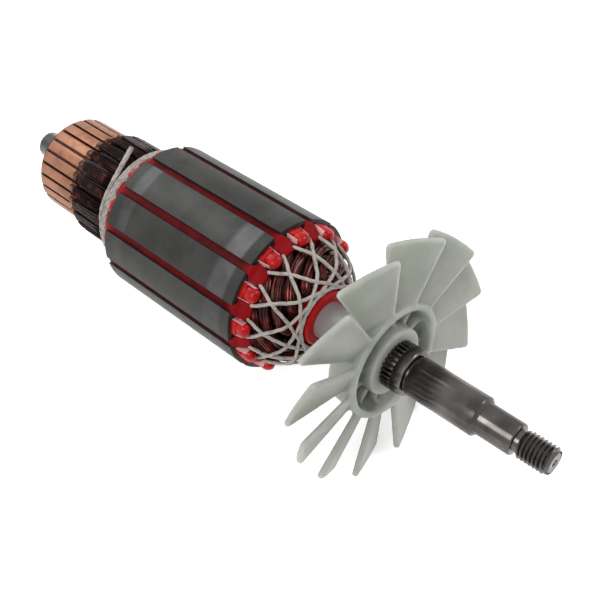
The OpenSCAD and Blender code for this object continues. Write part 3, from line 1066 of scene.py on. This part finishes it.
@dataclass
class Shaft:
    """The ground shaft with its toothed shoulder and its thread."""

    rear: float = -103.4
    step: float = -89.9
    shoulder_front: float = 41.3
    bearing_front: float = 61.1
    pinion_front: float = 70.1
    front: float = 79.3
    journal_r: float = 4.0
    body_r: float = 5.0
    shoulder_r: float = 6.1
    pinion_r: float = 4.0
    thread_r: float = 3.5
    thread_depth: float = 0.6
    thread_pitch: float = 1.0
    thread_start: float = 71.2
    chamfer: float = 0.6
    seat_chamfer: float = 0.9
    relief: float = 0.45
    relief_width: float = 0.7
    step_cone: float = 1.0
    shoulder_back: float = 1.0
    shoulder_chamfer: float = 0.35
    pinion_chamfer: float = 0.3
    core_drop: float = 0.15
    tip_chamfer: float = 0.4
    tip_drop: float = 0.5
    centre_r: float = 0.9
    centre_neck_r: float = 0.7
    centre_neck: float = 1.3
    centre_depth: float = 2.6
    edge: float = 0.08
    groove_count: int = 30
    groove_width: float = 0.62
    groove_depth: float = 0.6
    groove_length: float = 2.85
    land_bite: float = 0.3
    land_run: float = 0.2
    land_drop: float = 0.01
    land_edge: float = 0.1
    thread_cut: float = 0.05
    thread_fade: float = 0.1
    thread_weld: float = 1e-4
    steps: int = 96

    def body(self) -> bmesh.types.BMesh:
        """The turned body, up to the thread's root."""
        bm = bmesh.new()
        root = self.thread_r - self.thread_depth
        spun(
            bm,
            [
                (self.rear, 0.0),
                (self.rear, self.journal_r - self.chamfer),
                (self.rear + self.chamfer, self.journal_r),
                (self.step, self.journal_r),
                (self.step + self.step_cone, self.body_r),
                (FAN_FRONT - self.shoulder_back, self.body_r),
                (FAN_FRONT - self.shoulder_back, self.shoulder_r - self.groove_depth),
                (FAN_FRONT + self.groove_length, self.shoulder_r - self.groove_depth),
                (FAN_FRONT + self.groove_length, self.shoulder_r),
                (self.shoulder_front - self.shoulder_chamfer, self.shoulder_r),
                (self.shoulder_front, self.shoulder_r - self.shoulder_chamfer),
                (self.shoulder_front, self.body_r - self.relief),
                (self.shoulder_front + self.relief_width, self.body_r - self.relief),
                (self.shoulder_front + self.relief_width, self.body_r),
                (self.bearing_front - self.seat_chamfer, self.body_r),
                (self.bearing_front, self.body_r - self.seat_chamfer),
                (self.bearing_front, self.pinion_r),
                (self.pinion_front - self.pinion_chamfer, self.pinion_r),
                (self.pinion_front, self.pinion_r - self.pinion_chamfer),
                (self.pinion_front, root - self.core_drop),
                (self.front - self.tip_chamfer, root - self.core_drop),
                (self.front, root - self.tip_drop),
                (self.front, self.centre_r),
                (self.front - self.centre_neck, self.centre_neck_r),
                (self.front - self.centre_depth, 0.0),
            ],
            self.steps,
            self.edge,
        )
        return bm

    def teeth(self, bm: bmesh.types.BMesh) -> None:
        """Adds the lands between the shoulder's grooves."""
        pitch = 360 / self.groove_count
        width = 2 * math.pi * self.shoulder_r / self.groove_count - self.groove_width
        bottom = self.shoulder_r - self.groove_depth - self.land_bite
        low = (FAN_FRONT - self.shoulder_back, -width / 2, bottom)
        end = FAN_FRONT + self.groove_length + self.land_run
        high = (end, width / 2, self.shoulder_r - self.land_drop)
        for i in range(self.groove_count):
            absorb(bm, block(low, high, self.land_edge), about_shaft((i + 0.5) * pitch))

    def thread(self, bm: bmesh.types.BMesh) -> None:
        """Adds the helical thread, cut off square and chamfered at its end."""
        part = bmesh.new()
        root = self.thread_r - self.thread_depth
        flat = self.thread_pitch / 8
        ramp = (self.thread_pitch - 2 * flat) / 2
        profile = [
            (0.0, root),
            (ramp, self.thread_r),
            (ramp + flat, self.thread_r),
            (2 * ramp + flat, root),
            (self.thread_pitch, root),
        ]
        start = self.thread_start - self.thread_pitch
        verts = [part.verts.new((start + x, 0.0, r)) for x, r in profile]
        for pair in zip(verts, verts[1:]):
            part.edges.new(pair)
        turns = math.ceil((self.front - start) / self.thread_pitch)
        line = list(part.verts) + list(part.edges)
        climb = (self.thread_pitch / self.steps, 0, 0)
        swept(part, line, 2 * math.pi * turns, self.steps * turns, dvec=climb, use_merge=False)
        bmesh.ops.remove_doubles(part, verts=part.verts, dist=self.thread_weld)
        for vert in part.verts:
            radius = math.hypot(vert.co.y, vert.co.z)
            ahead = self.front - vert.co.x - self.thread_fade + root
            limit = max(min(ahead, vert.co.x - self.thread_start + root + self.thread_fade), root)
            if radius > limit:
                scale = limit / radius
                vert.co.y *= scale
                vert.co.z *= scale
        for x, side in ((self.thread_start, -1), (self.front - self.thread_cut, 1)):
            sliced(part, x, side, clear=True)
        bmesh.ops.recalc_face_normals(part, faces=part.faces)
        absorb(bm, part)

    def build(self, bench: Workbench) -> None:
        """Makes the shaft."""
        bm = self.body()
        self.teeth(bm)
        self.thread(bm)
        bench.finish("armature_shaft", bm, bench.finishes.steel, ["shaft"], sharp_deg=30.0)


# ----------------------------------------------------------------------------- core


@dataclass
class Core:
    """The lamination stack with its wedges, liners and end insulators."""

    tooth: float = 4.0
    bore: float = 7.51
    hub: float = 12.4
    horn_top: float = 19.9
    horn_depth: float = 3.1
    horn_width: float = 3.9
    horn_front: float = 4.7
    horn_rear: float = 2.7
    horn_foot: float = 0.3
    horn_edge: float = 1.5
    horn_edge_share: float = 0.42
    plate: float = 1.4
    plate_edge: float = 0.15
    plate_steps: int = 96
    arm_bite: float = 0.6
    arm_edge: float = 0.25
    mouth: float = 2.14
    wedge_face: float = 20.5
    wedge_top: float = 18.97
    wedge_thickness: float = 0.8
    wedge_width: float = 4.6
    wedge_out: float = 3.4
    wedge_corner: float = 1.3
    wedge_edge: float = 0.16
    wedge_bends: int = 9
    rim_angle: float = 1.2
    rib_out: float = 1.6
    rib_bite: float = 0.1
    rib_edge: float = 0.18
    rib_front_cuts: tuple[float, ...] = (0.1, 0.3, 0.6, 0.9, 1.2)
    rib_rear_cuts: tuple[float, ...] = (0.2, 0.6, 1.1)
    front_bend: float = 1.7
    rear_bend: float = 0.5
    front_fall: float = 3.2
    rear_fall: float = 1.1
    mouth_spread: float = 1.2
    flap_bottom: float = 17.7
    flap_top: float = 19.5
    flap_side: float = 2.52
    flap_out: float = 3.3
    flap_gap: float = 0.05
    flap_thickness: float = 0.2
    flap_edge: float = 0.06
    flap_lean: float = 0.35
    flap_flare: float = 0.15
    flap_droop: float = 0.5

    def insulator(self, horn: float, rear: bool) -> bmesh.types.BMesh:
        """A ring with one arm and one rounded horn on each tooth.

        Args:
            horn: height of a horn past the core.
            rear: whether it stands at the commutator end.

        Returns:
            Its mesh.
        """
        bm = bmesh.new()
        ring = [(0.0, self.bore), (0.0, self.hub), (self.plate, self.hub), (self.plate, self.bore)]
        spun(bm, ring, self.plate_steps, self.plate_edge)
        arm, bead = self.tooth / 2, self.horn_width / 2
        arm_low = (0.0, -arm, self.hub - self.arm_bite)
        bead_low = (self.horn_foot, -bead, self.horn_top - self.horn_depth)
        edge = min(self.horn_edge, horn * self.horn_edge_share)
        for i in range(SLOT_COUNT):
            turn = slot_turn(i + 0.5)
            absorb(bm, block(arm_low, (self.plate, arm, self.horn_top), self.arm_edge), turn)
            absorb(bm, block(bead_low, (horn, bead, self.horn_top), edge, segments=4), turn)
        if rear:
            mirrored(bm, Matrix.Translation((CORE_REAR, 0, 0)) @ Matrix.Scale(-1, 4, (1, 0, 0)))
        return bm

    def wedge(self) -> bmesh.types.BMesh:
        """A slot wedge: a strip under the lips, a rib in the mouth, and ends that bend inwards."""
        bottom = self.wedge_top - self.wedge_thickness
        half = self.wedge_width / 2
        low = (CORE_REAR - self.wedge_out, -half, bottom)
        strip = block(low, (self.wedge_out, half, self.wedge_top), 0.0)
        upright = [e for e in strip.edges if abs(e.verts[0].co.z - e.verts[1].co.z) > ON_AXIS]
        rounded(strip, upright, self.wedge_corner, segments=5)
        rims = [e for e in strip.edges if e.calc_face_angle(0.0) > self.rim_angle]
        rounded(strip, rims, self.wedge_edge)
        for k in range(self.wedge_bends):
            reach = self.wedge_out * k / self.wedge_bends
            for x in (reach, CORE_REAR - reach):
                sliced(strip, x)
        half = self.mouth / 2
        low = (CORE_REAR - self.rib_out, -half, bottom + self.rib_bite)
        rib = block(low, (self.rib_out, half, self.wedge_face), self.rib_edge)
        for x in (*self.rib_front_cuts, *(CORE_REAR - cut for cut in self.rib_rear_cuts)):
            sliced(rib, x)
        absorb(strip, rib)
        for vert in strip.verts:
            front = max(vert.co.x, 0.0) / self.wedge_out
            rear = max(CORE_REAR - vert.co.x, 0.0) / self.wedge_out
            high = max(0.0, vert.co.z - self.wedge_top)
            fall = min(1.0, self.front_fall * front)
            sunk = high * (fall + min(1.0, self.rear_fall * rear))
            vert.co.z -= self.front_bend * front**2 + self.rear_bend * rear**2 + sunk
            if high > 0:
                vert.co.y *= 1 + self.mouth_spread * fall
        return strip

    def flap(self) -> bmesh.types.BMesh:
        """A liner's corner, which stands out beside a horn at the drive end."""
        low = (self.flap_gap, 0.0, self.flap_bottom)
        part = block(low, (self.flap_out, self.flap_thickness, self.flap_top), self.flap_edge)
        for vert in part.verts:
            up = (vert.co.z - self.flap_bottom) / (self.flap_top - self.flap_bottom)
            out = vert.co.x / self.flap_out
            vert.co.y += self.flap_side + self.flap_lean * up + self.flap_flare * out
            vert.co.z -= self.flap_droop * out * up
        return part

    def build(self, bench: Workbench) -> None:
        """Dresses and makes the core's pieces."""
        looks = bench.finishes
        bench.dress_node("lamination_stack", looks.core)
        bench.dress_node("insulating_sleeve", looks.sleeve)
        bench.dress_node("slot_liners", looks.film)
        ends = (("drive", self.horn_front, False), ("commutator", self.horn_rear, True))
        for name, horn, rear in ends:
            bm, node = self.insulator(horn, rear), f"end_insulator_{name}"
            bench.finish(f"insulator_{name}_end", bm, looks.red, [node], sharp_deg=50.0)
        flaps = bmesh.new()
        for i in range(SLOT_COUNT):
            turn = slot_turn(i)
            wedge, name = turned(self.wedge(), turn), f"wedge_{i + 1:02d}"
            bench.finish(name, wedge, looks.wedge, [f"slot_{name}"], sharp_deg=50.0)
            absorb(flaps, self.flap(), turn)
            absorb(flaps, mirrored(self.flap(), Matrix.Scale(-1, 4, (0, 1, 0))), turn)
        bench.finish("liner_corners", flaps, looks.film, [])


# -------------------------------------------------------------------------- winding


@dataclass
class Winding:
    """Twelve coils of enamelled wire and their leads to the commutator."""

    outer_r: float = 16.4
    inner_r: float = 13.2
    reach: float = 10.3
    slot_half_w: float = 1.5
    inner_half_w: float = 0.85
    half_w: float = 1.25
    half_t: float = 1.15
    rear_half_t: float = 1.4
    rear_drop: float = 0.2
    wire_r: float = 0.29
    ring_wires: int = 12
    lead_r: float = 14.75
    lead_half_w: float = 1.95
    lead_half_t: float = 0.8
    lead_rise: float = 2.9
    lead_wires: int = 11
    lead_steps: int = 12
    lead_gap: float = 0.05
    lead_low: float = -0.6
    lead_pinch: float = 0.3
    lead_swing: tuple[float, float] = (0.1, 0.3)
    middle_wire_r: float = 0.72
    lead_waves: int = 5
    sway: float = 0.24
    sway_waves: int = 3
    drift: float = 0.12
    drift_waves: int = 11
    swell: float = 0.05
    swell_waves: int = 5
    phase_span: float = 6.28
    in_slot: float = 2.0
    slot_change: float = 75.0
    heart_steps: int = 72
    heart_edge: float = 0.5
    seed: int = 7
    drive_heart: Profile = (
        (1.5, 8.1),
        (8.2, 8.1),
        (8.8, 9.4),
        (8.2, 11.2),
        (7.0, 12.6),
        (5.2, 13.6),
        (3.0, 14.4),
        (1.5, 14.8),
    )
    commutator_heart: Profile = (
        (-49.6, 8.1),
        (-49.6, 14.4),
        (-52.5, 14.0),
        (-56.0, 13.6),
        (-59.0, 14.3),
        (-62.5, 14.7),
        (-66.0, 14.5),
        (-69.0, 14.3),
        (-70.2, 13.8),
        (-70.2, 11.0),
        (-64.0, 8.1),
    )

    def rows(self, drop: float) -> list[list[float]]:
        """Stations of an end turn.

        Args:
            drop: how much lower the turn lies than at the drive end.

        Returns:
            Rows of angle, reach past the core, height above the axis and lean of the outer side.
        """
        o, i, p = self.outer_r, self.inner_r, self.reach
        return [
            [0, 0, o, 0],
            [0, 1.9, o - 0.3, 0],
            [0.5, 2.8, o - 0.8 - drop * 0.3, 0],
            [14, 4.1, o - 1.3 - drop * 0.5, 10],
            [30, 5.5, o - 1.7 - drop * 0.8, 15],
            [45, p - 3.2, o - 2.4 - drop, 25],
            [60, p - 1.6, o - 3.5 - drop, 40],
            [71, p - 0.4, o - 4.6 - drop * 0.6, 60],
            [75, p, o - 5.9 - drop * 0.2, 90],
            [79, p - 0.6, i - 3.7, 130],
            [90, p - 1.7, i - 4, 160],
            [105, p - 3.2, i - 3.3, 170],
            [120, 5.6, i - 2.4, 175],
            [135, 4.1, i - 1.3, 180],
            [149.5, 2.8, i - 0.3, 180],
            [150, 1.9, i, 180],
            [150, 0, i, 180],
        ]

    def stations(self) -> list[tuple[Vector, Vector, float, float]]:
        """The coil's closed middle line.

        Returns:
            Its stations: place, outward side, half width and half thickness.
        """
        out = []
        for drop, thick, rear in ((0.0, self.half_t, False), (self.rear_drop, self.rear_half_t, True)):
            rows = smooth_rows(self.rows(drop), 3)
            for angle, reach, height, lean in reversed(rows) if rear else rows:
                x = CORE_REAR - reach if rear else reach
                tip = math.radians(lean)
                along = math.sin(tip) * (-1 if rear else 1)
                outward = polar(0, 1, angle) * math.cos(tip) + Vector((along, 0, 0))
                in_slot = reach < self.in_slot
                slot_width = self.slot_half_w if angle < self.slot_change else self.inner_half_w
                width, depth = (slot_width, self.half_t) if in_slot else (self.half_w, thick)
                out.append((polar(x, height, angle), outward, width, depth))
        return out

    def loop(self, bm: bmesh.types.BMesh, rng: random.Random) -> None:
        """Adds one coil's wires."""
        stations = self.stations()
        count = len(stations)
        wires: list[list[Vector]] = []
        radii: list[float] = []
        for k in range(self.ring_wires + 1):
            heart = k == self.ring_wires
            base = 2 * math.pi * k / self.ring_wires
            sway, drift = rng.uniform(0, self.phase_span), rng.uniform(0, self.phase_span)
            turns = rng.choice((2, 3, 4))
            path = []
            for i, (place, outward, half_w, half_t) in enumerate(stations):
                tangent = (stations[(i + 1) % count][0] - stations[i - 1][0]).normalized()
                up = (outward - outward.dot(tangent) * tangent).normalized()
                side = tangent.cross(up)
                s = 2 * math.pi * i / count
                a = base + self.sway * math.sin(turns * self.sway_waves * s + sway)
                a += self.drift * math.sin(self.drift_waves * s + drift)
                swell = self.swell * math.sin(turns * self.swell_waves * s + drift)
                depth = 0.0 if heart else 1.0 + swell
                w = (half_w - self.wire_r) * depth
                t = (half_t - self.wire_r) * depth
                path.append(place + side * (w * math.cos(a)) + up * (t * math.sin(a)))
            wires.append(path)
            radii.append(self.middle_wire_r if heart else self.wire_r)
        add_strands(bm, wires, radii, cyclic=True)

    def lead(self, bm: bmesh.types.BMesh, row: Sequence[float], rng: random.Random) -> None:
        """Adds the wires from a station of the rear end turn to a bar."""
        angle, reach, height, _ = row
        x0 = CORE_REAR - reach
        x1 = BAR_FRONT + self.lead_gap
        wires = []
        for k in range(self.lead_wires):
            across = (k + 0.5) / self.lead_wires * 2 - 1
            level = (self.lead_half_t - self.wire_r) * (1 if k % 2 else self.lead_low)
            sway, swing = rng.uniform(0, self.phase_span), rng.uniform(*self.lead_swing)
            path = []
            for i in range(self.lead_steps + 1):
                s = i / self.lead_steps
                x = x0 + (x1 - x0) * s
                climb = min(1.0, (x0 - x) / self.lead_rise)
                r = height + (self.lead_r - height) * climb + level * climb
                spread = (self.lead_half_w - self.wire_r) * across * (1 - self.lead_pinch * s**4)
                wobble = swing * math.sin(self.lead_waves * s + sway) * (1 - s)
                path.append(polar(x, r, angle + math.degrees((spread + wobble) / self.lead_r)))
            wires.append(path)
        add_strands(bm, wires, self.wire_r)

    def heart(self, bench: Workbench, name: str, profile: Profile) -> None:
        """Makes the mass of inner wires under an end turn, painted darker than the wire as shade in the
        gaps between coils.

        Args:
            bench: the workbench.
            name: the piece's name.
            profile: its closed profile of x and radius.
        """
        bm = bmesh.new()
        spun(bm, profile, self.heart_steps, self.heart_edge)
        bench.finish(name, bm, bench.finishes.heart, [])

    def build(self, bench: Workbench) -> None:
        """Makes the twelve coils."""
        # the hearts stand for the inner wires and carry painted shade in the gaps between coils
        self.heart(bench, "winding_heart_drive", self.drive_heart)
        self.heart(bench, "winding_heart_commutator", self.commutator_heart)
        rng = random.Random(self.seed)
        looks = bench.finishes
        rows = self.rows(self.rear_drop)
        for i in range(SLOT_COUNT):
            turn, number = slot_turn(i), f"{i + 1:02d}"
            wires = bmesh.new()
            self.loop(wires, rng)
            leads = bmesh.new()
            for row in (rows[5], rows[6]):
                self.lead(leads, row, rng)
            for kind, bm, look in (("wires", wires, looks.wire), ("leads", leads, looks.lead)):
                name = f"coil_{kind}_{number}"
                bench.finish(name, turned(bm, turn), look, [f"coil_{number}"])


# ----------------------------------------------------------------------- commutator


@dataclass
class Commutator:
    """Twenty-four copper bars with hooks, on a brown moulding."""

    track_r: float = 14.0
    bar_t: float = 3.6
    bar_gap: float = 0.78
    hook_w: float = 1.6
    hook_t: float = 0.55
    hook_h: float = 1.35
    hook_len: float = 2.6
    hook_slope: float = 0.6
    hook_edge: float = 0.3
    riser_bite: float = 0.5
    fold_bite: float = 0.1
    bar_edge: float = 0.12
    foot_taper: float = 0.93
    foot_band: float = 0.1
    rim_angle: float = 0.9
    arc_steps: int = 4

    def bar(self) -> bmesh.types.BMesh:
        """One bar with its hook, at the top of the commutator."""
        inner = self.track_r - self.bar_t
        part = bmesh.new()
        half = math.radians(BAR_PITCH / 2) - self.bar_gap / 2 / self.track_r
        top = self.track_r
        ends = ((BAR_REAR, inner), (BAR_FRONT, inner), (BAR_FRONT, top), (BAR_REAR, top))
        face = part.faces.new([part.verts.new((x, 0, r)) for x, r in ends])
        bmesh.ops.rotate(part, verts=part.verts, cent=(0, 0, 0), matrix=Matrix.Rotation(-half, 3, "X"))
        swept(part, [face], 2 * half, self.arc_steps, use_merge=False, use_duplicate=False)
        bmesh.ops.recalc_face_normals(part, faces=part.faces)
        for vert in part.verts:
            if math.hypot(vert.co.y, vert.co.z) < inner + self.foot_band:
                vert.co.y *= self.foot_taper
        closed = [e for e in part.edges if len(e.link_faces) == 2]
        sharp = [e for e in closed if e.calc_face_angle(0.0) > self.rim_angle]
        rounded(part, sharp, self.bar_edge)
        side = self.hook_w / 2
        end = (BAR_FRONT, side, self.track_r + self.hook_h)
        low = (BAR_FRONT - self.hook_t, -side, self.track_r - self.riser_bite)
        absorb(part, block(low, end, self.bar_edge))
        low = (BAR_FRONT - self.hook_len, -side, self.track_r - self.fold_bite)
        fold = block(low, end, self.hook_edge, segments=3)
        for vert in fold.verts:
            if vert.co.z > self.track_r + self.hook_edge:
                vert.co.z -= self.hook_slope * (BAR_FRONT - vert.co.x) / self.hook_len
        absorb(part, fold)
        return part

    def build(self, bench: Workbench) -> None:
        """Makes the bars and dresses the moulding."""
        bench.dress_node("commutator_moulding", bench.finishes.moulding)
        for i in range(BAR_COUNT):
            bar, name = turned(self.bar(), about_shaft(CORE_TURN + i * BAR_PITCH)), f"bar_{i + 1:02d}"
            bench.finish(name, bar, bench.finishes.copper, [f"commutator_{name}"])


# ---------------------------------------------------------------------------- cords


@dataclass(frozen=True)
class Lay:
    """How a cord is twisted, with its plies' offset and radius as shares of its width."""

    plies: int
    offset: float
    radius: float
    stretch: float = 1.0


@dataclass
class Cords:
    """The lacing over the drive-end turns and the tie round the commutator-end turns."""

    lacing_d: float = 1.0
    ring: float = 8.4
    rim: float = 17.5
    crown: float = 12.7
    half_run: tuple[Triple, ...] = (
        (0, 0, 1),
        (15, 0.022, 1),
        (30, 0.077, 0.99),
        (44, 0.2, 0.976),
        (56, 0.352, 0.941),
        (65, 0.538, 0.858),
        (72, 0.747, 0.67),
        (76, 0.857, 0.535),
        (79.5, 0.923, 0.428),
        (82, 0.967, 0.335),
        (84, 1, 0.225),
    )
    tie_d: float = 1.1
    tie_turns: int = 3
    tie_start: float = 3.9
    tie_pitch: float = 1.13
    tie_r: float = 17.4
    tie_taper: float = 0.55
    tie_from: float = 38.0
    tie_steps: int = 60
    lacing_step: float = 0.45
    tie_step: float = 0.5
    tail_step: float = 0.4
    tail: float = 14.0
    tail_d: float = 1.4
    tail_rise: float = 0.2
    tail_power: float = 2.6
    tail_along: float = 0.12
    tail_lift: float = 0.25
    tail_steps: int = 16
    tail_before: int = 8
    ply_pitch: float = 5.5
    ply_turn: float = 1.7
    lacing_lay: Lay = Lay(3, 0.17, 0.31, 1.4)
    tie_lay: Lay = Lay(3, 0.21, 0.27)
    tail_lay: Lay = Lay(4, 0.24, 0.26, 1.6)

    def twist(
        self, bm: bmesh.types.BMesh, path: Sequence[Vector], width: float, lay: Lay, start: float = 0.0
    ) -> None:
        """Adds a twisted cord to a mesh.

        Args:
            bm: the mesh.
            path: the cord's middle line.
            width: the cord's diameter.
            lay: how it is twisted.
            start: angle of its first ply, in radians.
        """
        plies = plied(path, lay.plies, width * lay.offset, self.ply_pitch * lay.stretch, start)
        add_strands(bm, plies, width * lay.radius)

    def run_path(self) -> list[Vector]:
        """The middle line of one lacing run, from horn to horn round the sleeve."""
        path = []
        last = len(self.half_run) - 1
        for k in range(-last, last + 1):
            angle, share, reach = self.half_run[abs(k)]
            radius = self.ring + (self.rim - self.ring) * share
            path.append(polar(self.crown * reach, radius, math.copysign(angle, k)))
        return [Vector(row) for row in smooth_rows(path, 5)]

    def lacing(self, bench: Workbench) -> None:
        """Makes the lacing."""
        bm = bmesh.new()
        path = resampled(self.run_path(), self.lacing_step)
        for i in range(SLOT_COUNT):
            run = [slot_turn(i) @ p for p in path]
            self.twist(bm, run, self.lacing_d, self.lacing_lay, i * self.ply_turn)
        bench.finish("lacing", bm, bench.finishes.cord, ["lacing_cord"])

    def tie_path(self) -> list[Vector]:
        """The middle line of the tie cord's turns."""
        steps = self.tie_steps
        last = self.tie_turns * steps
        return [
            polar(
                CORE_REAR - self.tie_start - self.tie_pitch * k / steps,
                self.tie_r - self.tie_taper * k / last,
                self.tie_from - 360 * k / steps,
            )
            for k in range(last + 1)
        ]

    def tail_path(self) -> list[Vector]:
        """The middle line of the tie cord's free end, which lifts off round the turn."""
        end_x = CORE_REAR - self.tie_start - self.tie_pitch * self.tie_turns
        reach = math.degrees(self.tail / self.tie_r)
        path = []
        for k in range(-self.tail_before, self.tail_steps + 1):
            s = k / self.tail_steps
            rise = self.tail_rise * self.tail * max(0.0, s) ** self.tail_power
            x = end_x - self.tail * self.tail_along * s * abs(s)
            radius = self.tie_r - self.tie_taper + rise + self.tail_lift
            path.append(polar(x, radius, self.tie_from - reach * s))
        return path

    def tie(self, bench: Workbench) -> None:
        """Makes the tie cord."""
        bm = bmesh.new()
        self.twist(bm, resampled(self.tie_path(), self.tie_step), self.tie_d, self.tie_lay)
        self.twist(bm, resampled(self.tail_path(), self.tail_step), self.tail_d, self.tail_lay)
        bench.finish("tie", bm, bench.finishes.cord, ["tie_cord"])

    def build(self, bench: Workbench) -> None:
        """Makes both cords."""
        self.lacing(bench)
        self.tie(bench)


# ------------------------------------------------------------------------------ fan


@dataclass
class Fan:
    """The moulded nylon cooling fan."""

    radius: float = 33.0
    count: int = 12
    span: float = 26.7
    axial: float = 5.7
    thickness: float = 1.6
    corner: float = 1.1
    corner_steps: int = 5
    tip_bow: float = 0.55
    tip_drop: float = 0.3
    root_bite: float = 0.5
    hub_r: float = 15.4
    hub_length: float = 8.6
    hub_wall: float = 1.9
    draft: float = 0.8
    boss_r: float = 8.8
    bore: float = 5.01
    recess: float = 5.3
    rib: float = 1.1
    rib_inset: float = 2.9
    rib_bite: float = 0.6
    rib_edge: float = 0.3
    hub_steps: int = 120
    hub_edge: float = 0.4
    back: float = 2.25
    turn: float = 3.0
    edge: float = 0.55
    grain: float = 0.4
    melt: int = 7

    def blade(self) -> bmesh.types.BMesh:
        """One blade, at the top of the fan."""
        half = math.radians(self.span / 2)
        tip_y, rise = self.radius * math.sin(half), self.radius * math.cos(half)
        lean = math.atan2(self.axial / 2, tip_y)
        spread = math.atan2(math.hypot(tip_y, self.axial / 2), rise)
        root = self.hub_r - self.hub_wall - self.root_bite
        top = rise - self.corner
        across = top * math.tan(spread) - self.corner / math.cos(spread)
        arc = []
        for k in range(self.corner_steps + 1):
            a = -spread + (math.pi / 2 + spread) * k / self.corner_steps
            arc.append((across + self.corner * math.cos(a), top + self.corner * math.sin(a)))
        outline = [(-root * math.tan(spread), root), (root * math.tan(spread), root)]
        bow = [(across * s, self.tip_bow * (1 - s**2)) for s in (0.5, 0.0, -0.5)]
        arc = [(y, z - self.tip_drop) for y, z in arc]
        tip = [(y, rise - self.tip_drop + lift) for y, lift in bow]
        outline += arc + tip + [(-y, z) for y, z in reversed(arc)]
        place = Matrix.Translation((FAN_FRONT - self.back, 0, 0)) @ Matrix.Rotation(-lean, 4, "Z")
        return turned(plate(outline, self.thickness, self.edge, segments=3), place)

    def hub(self) -> bmesh.types.BMesh:
        """The hub with its rim, floor and boss."""
        bm = bmesh.new()
        rear, floor = FAN_FRONT - self.hub_length, FAN_FRONT - self.recess
        inner = self.hub_r - self.hub_wall
        spun(
            bm,
            [
                (rear, self.bore),
                (rear, self.hub_r - self.draft),
                (FAN_FRONT, self.hub_r),
                (FAN_FRONT, inner),
                (floor, inner),
                (floor, self.boss_r),
                (FAN_FRONT, self.boss_r),
                (FAN_FRONT, self.bore),
            ],
            self.hub_steps,
            self.hub_edge,
        )
        return bm

    def build(self, bench: Workbench) -> None:
        """Joins the hub, ribs and blades into one moulding."""
        bm = self.hub()
        floor = FAN_FRONT - self.recess
        inner = self.hub_r - self.hub_wall
        for i in range(self.count):
            turn = about_shaft(self.turn + i * 360 / self.count)
            absorb(bm, self.blade(), turn)
            low = (floor - self.rib_bite, -self.rib / 2, self.boss_r - self.rib_bite)
            high = (FAN_FRONT - self.rib_inset, self.rib / 2, inner + self.rib_bite)
            absorb(bm, block(low, high, self.rib_edge), turn)
        skin = blended(bm, self.grain, self.melt)
        bench.finish("cooling_fan", skin, bench.finishes.nylon, ["fan"], sharp_deg=80.0)


# --------------------------------------------------------------------------- studio


@dataclass(frozen=True)
class Softbox:
    """A square lamp: its name, place and side in metres, and power in watts."""

    name: str
    place: Triple
    size: float
    watts: float


@dataclass
class Studio:
    """Floor, lamps, world and camera; eye, right and down are in the shaft frame."""

    eye: Triple = (136.8, -91.8, 193.2)
    right: Triple = (0.7182, 0.6740, -0.1729)
    down: Triple = (0.4531, -0.6417, -0.6188)
    lens: float = 60.0
    sensor: float = 36.0
    near: float = 0.01
    floor_half: float = 0.8
    sky: float = 0.32
    aim: Triple = (0, 0, 0.02)
    lamps: tuple[Softbox, ...] = (
        Softbox("key", (0.1, -0.6, 0.8), 0.5, 5.5),
        Softbox("fill", (-0.7, 0.1, 0.6), 0.5, 2.6),
        Softbox("back", (0.5, 0.7, 0.6), 0.4, 4.0),
    )

    def floor(self) -> None:
        """A pale floor under the armature, no wider than the lamps reach."""
        bm = bmesh.new()
        bmesh.ops.create_grid(bm, x_segments=1, y_segments=1, size=self.floor_half)
        mesh = meshed("studio_floor", bm)
        mesh.materials.append(PaleFloor().build())
        floor = linked("studio_floor", mesh)

    def lamp(self, box: Softbox) -> None:
        """Sets up a lamp that faces the armature."""
        light = bpy.data.lights.new(box.name, "AREA")
        light.size = box.size
        light.energy = box.watts
        facing = (Vector(self.aim) - Vector(box.place)).to_track_quat("-Z", "Y").to_matrix().to_4x4()
        linked(box.name, light).matrix_world = Matrix.Translation(box.place) @ facing

    def world(self) -> None:
        """A soft even sky that looks white to every seeing ray."""
        world = bpy.data.worlds.new("studio")
        world.use_nodes = True
        tree = Tree(world.node_tree)
        strength = tree.node("Mix", Factor=tree.seen(), A=self.sky, B=1.0)
        back = tree.tree.nodes["Background"]
        tree.feed(back.inputs["Color"], (1.0, 1.0, 1.0))
        tree.feed(back.inputs["Strength"], strength.outputs["Result"])
        bpy.context.scene.world = world

    def camera(self) -> None:
        """The camera, held in the shaft frame."""
        right, down = Vector(self.right).normalized(), Vector(self.down).normalized()
        back = right.cross(-down).normalized()
        up = back.cross(right)
        turn = Matrix((right, up, back)).transposed().to_4x4()
        data = bpy.data.cameras.new("camera")
        data.lens = self.lens
        data.sensor_width = self.sensor
        data.clip_start = self.near
        place = POSE.matrix() @ Vector(self.eye)
        holder = linked("camera", data)
        holder.matrix_world = Matrix.Translation(place) @ POSE.turn() @ turn
        bpy.context.scene.camera = holder

    def build(self) -> None:
        """Sets the stage."""
        self.floor()
        self.world()
        self.camera()
        for box in self.lamps:
            self.lamp(box)
        bpy.context.scene.view_settings.view_transform = "Standard"


def main() -> None:
    """Builds the armature's looks around the frame."""
    logging.basicConfig(level=logging.INFO, format="%(message)s")
    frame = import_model()
    Studio().build()
    bench = Workbench(frame)
    for part in (Shaft(), Core(), Winding(), Commutator(), Cords(), Fan()):
        part.build(bench)
    LOG.info("%d pieces", bench.count)


if __name__ == "__main__":
    main()
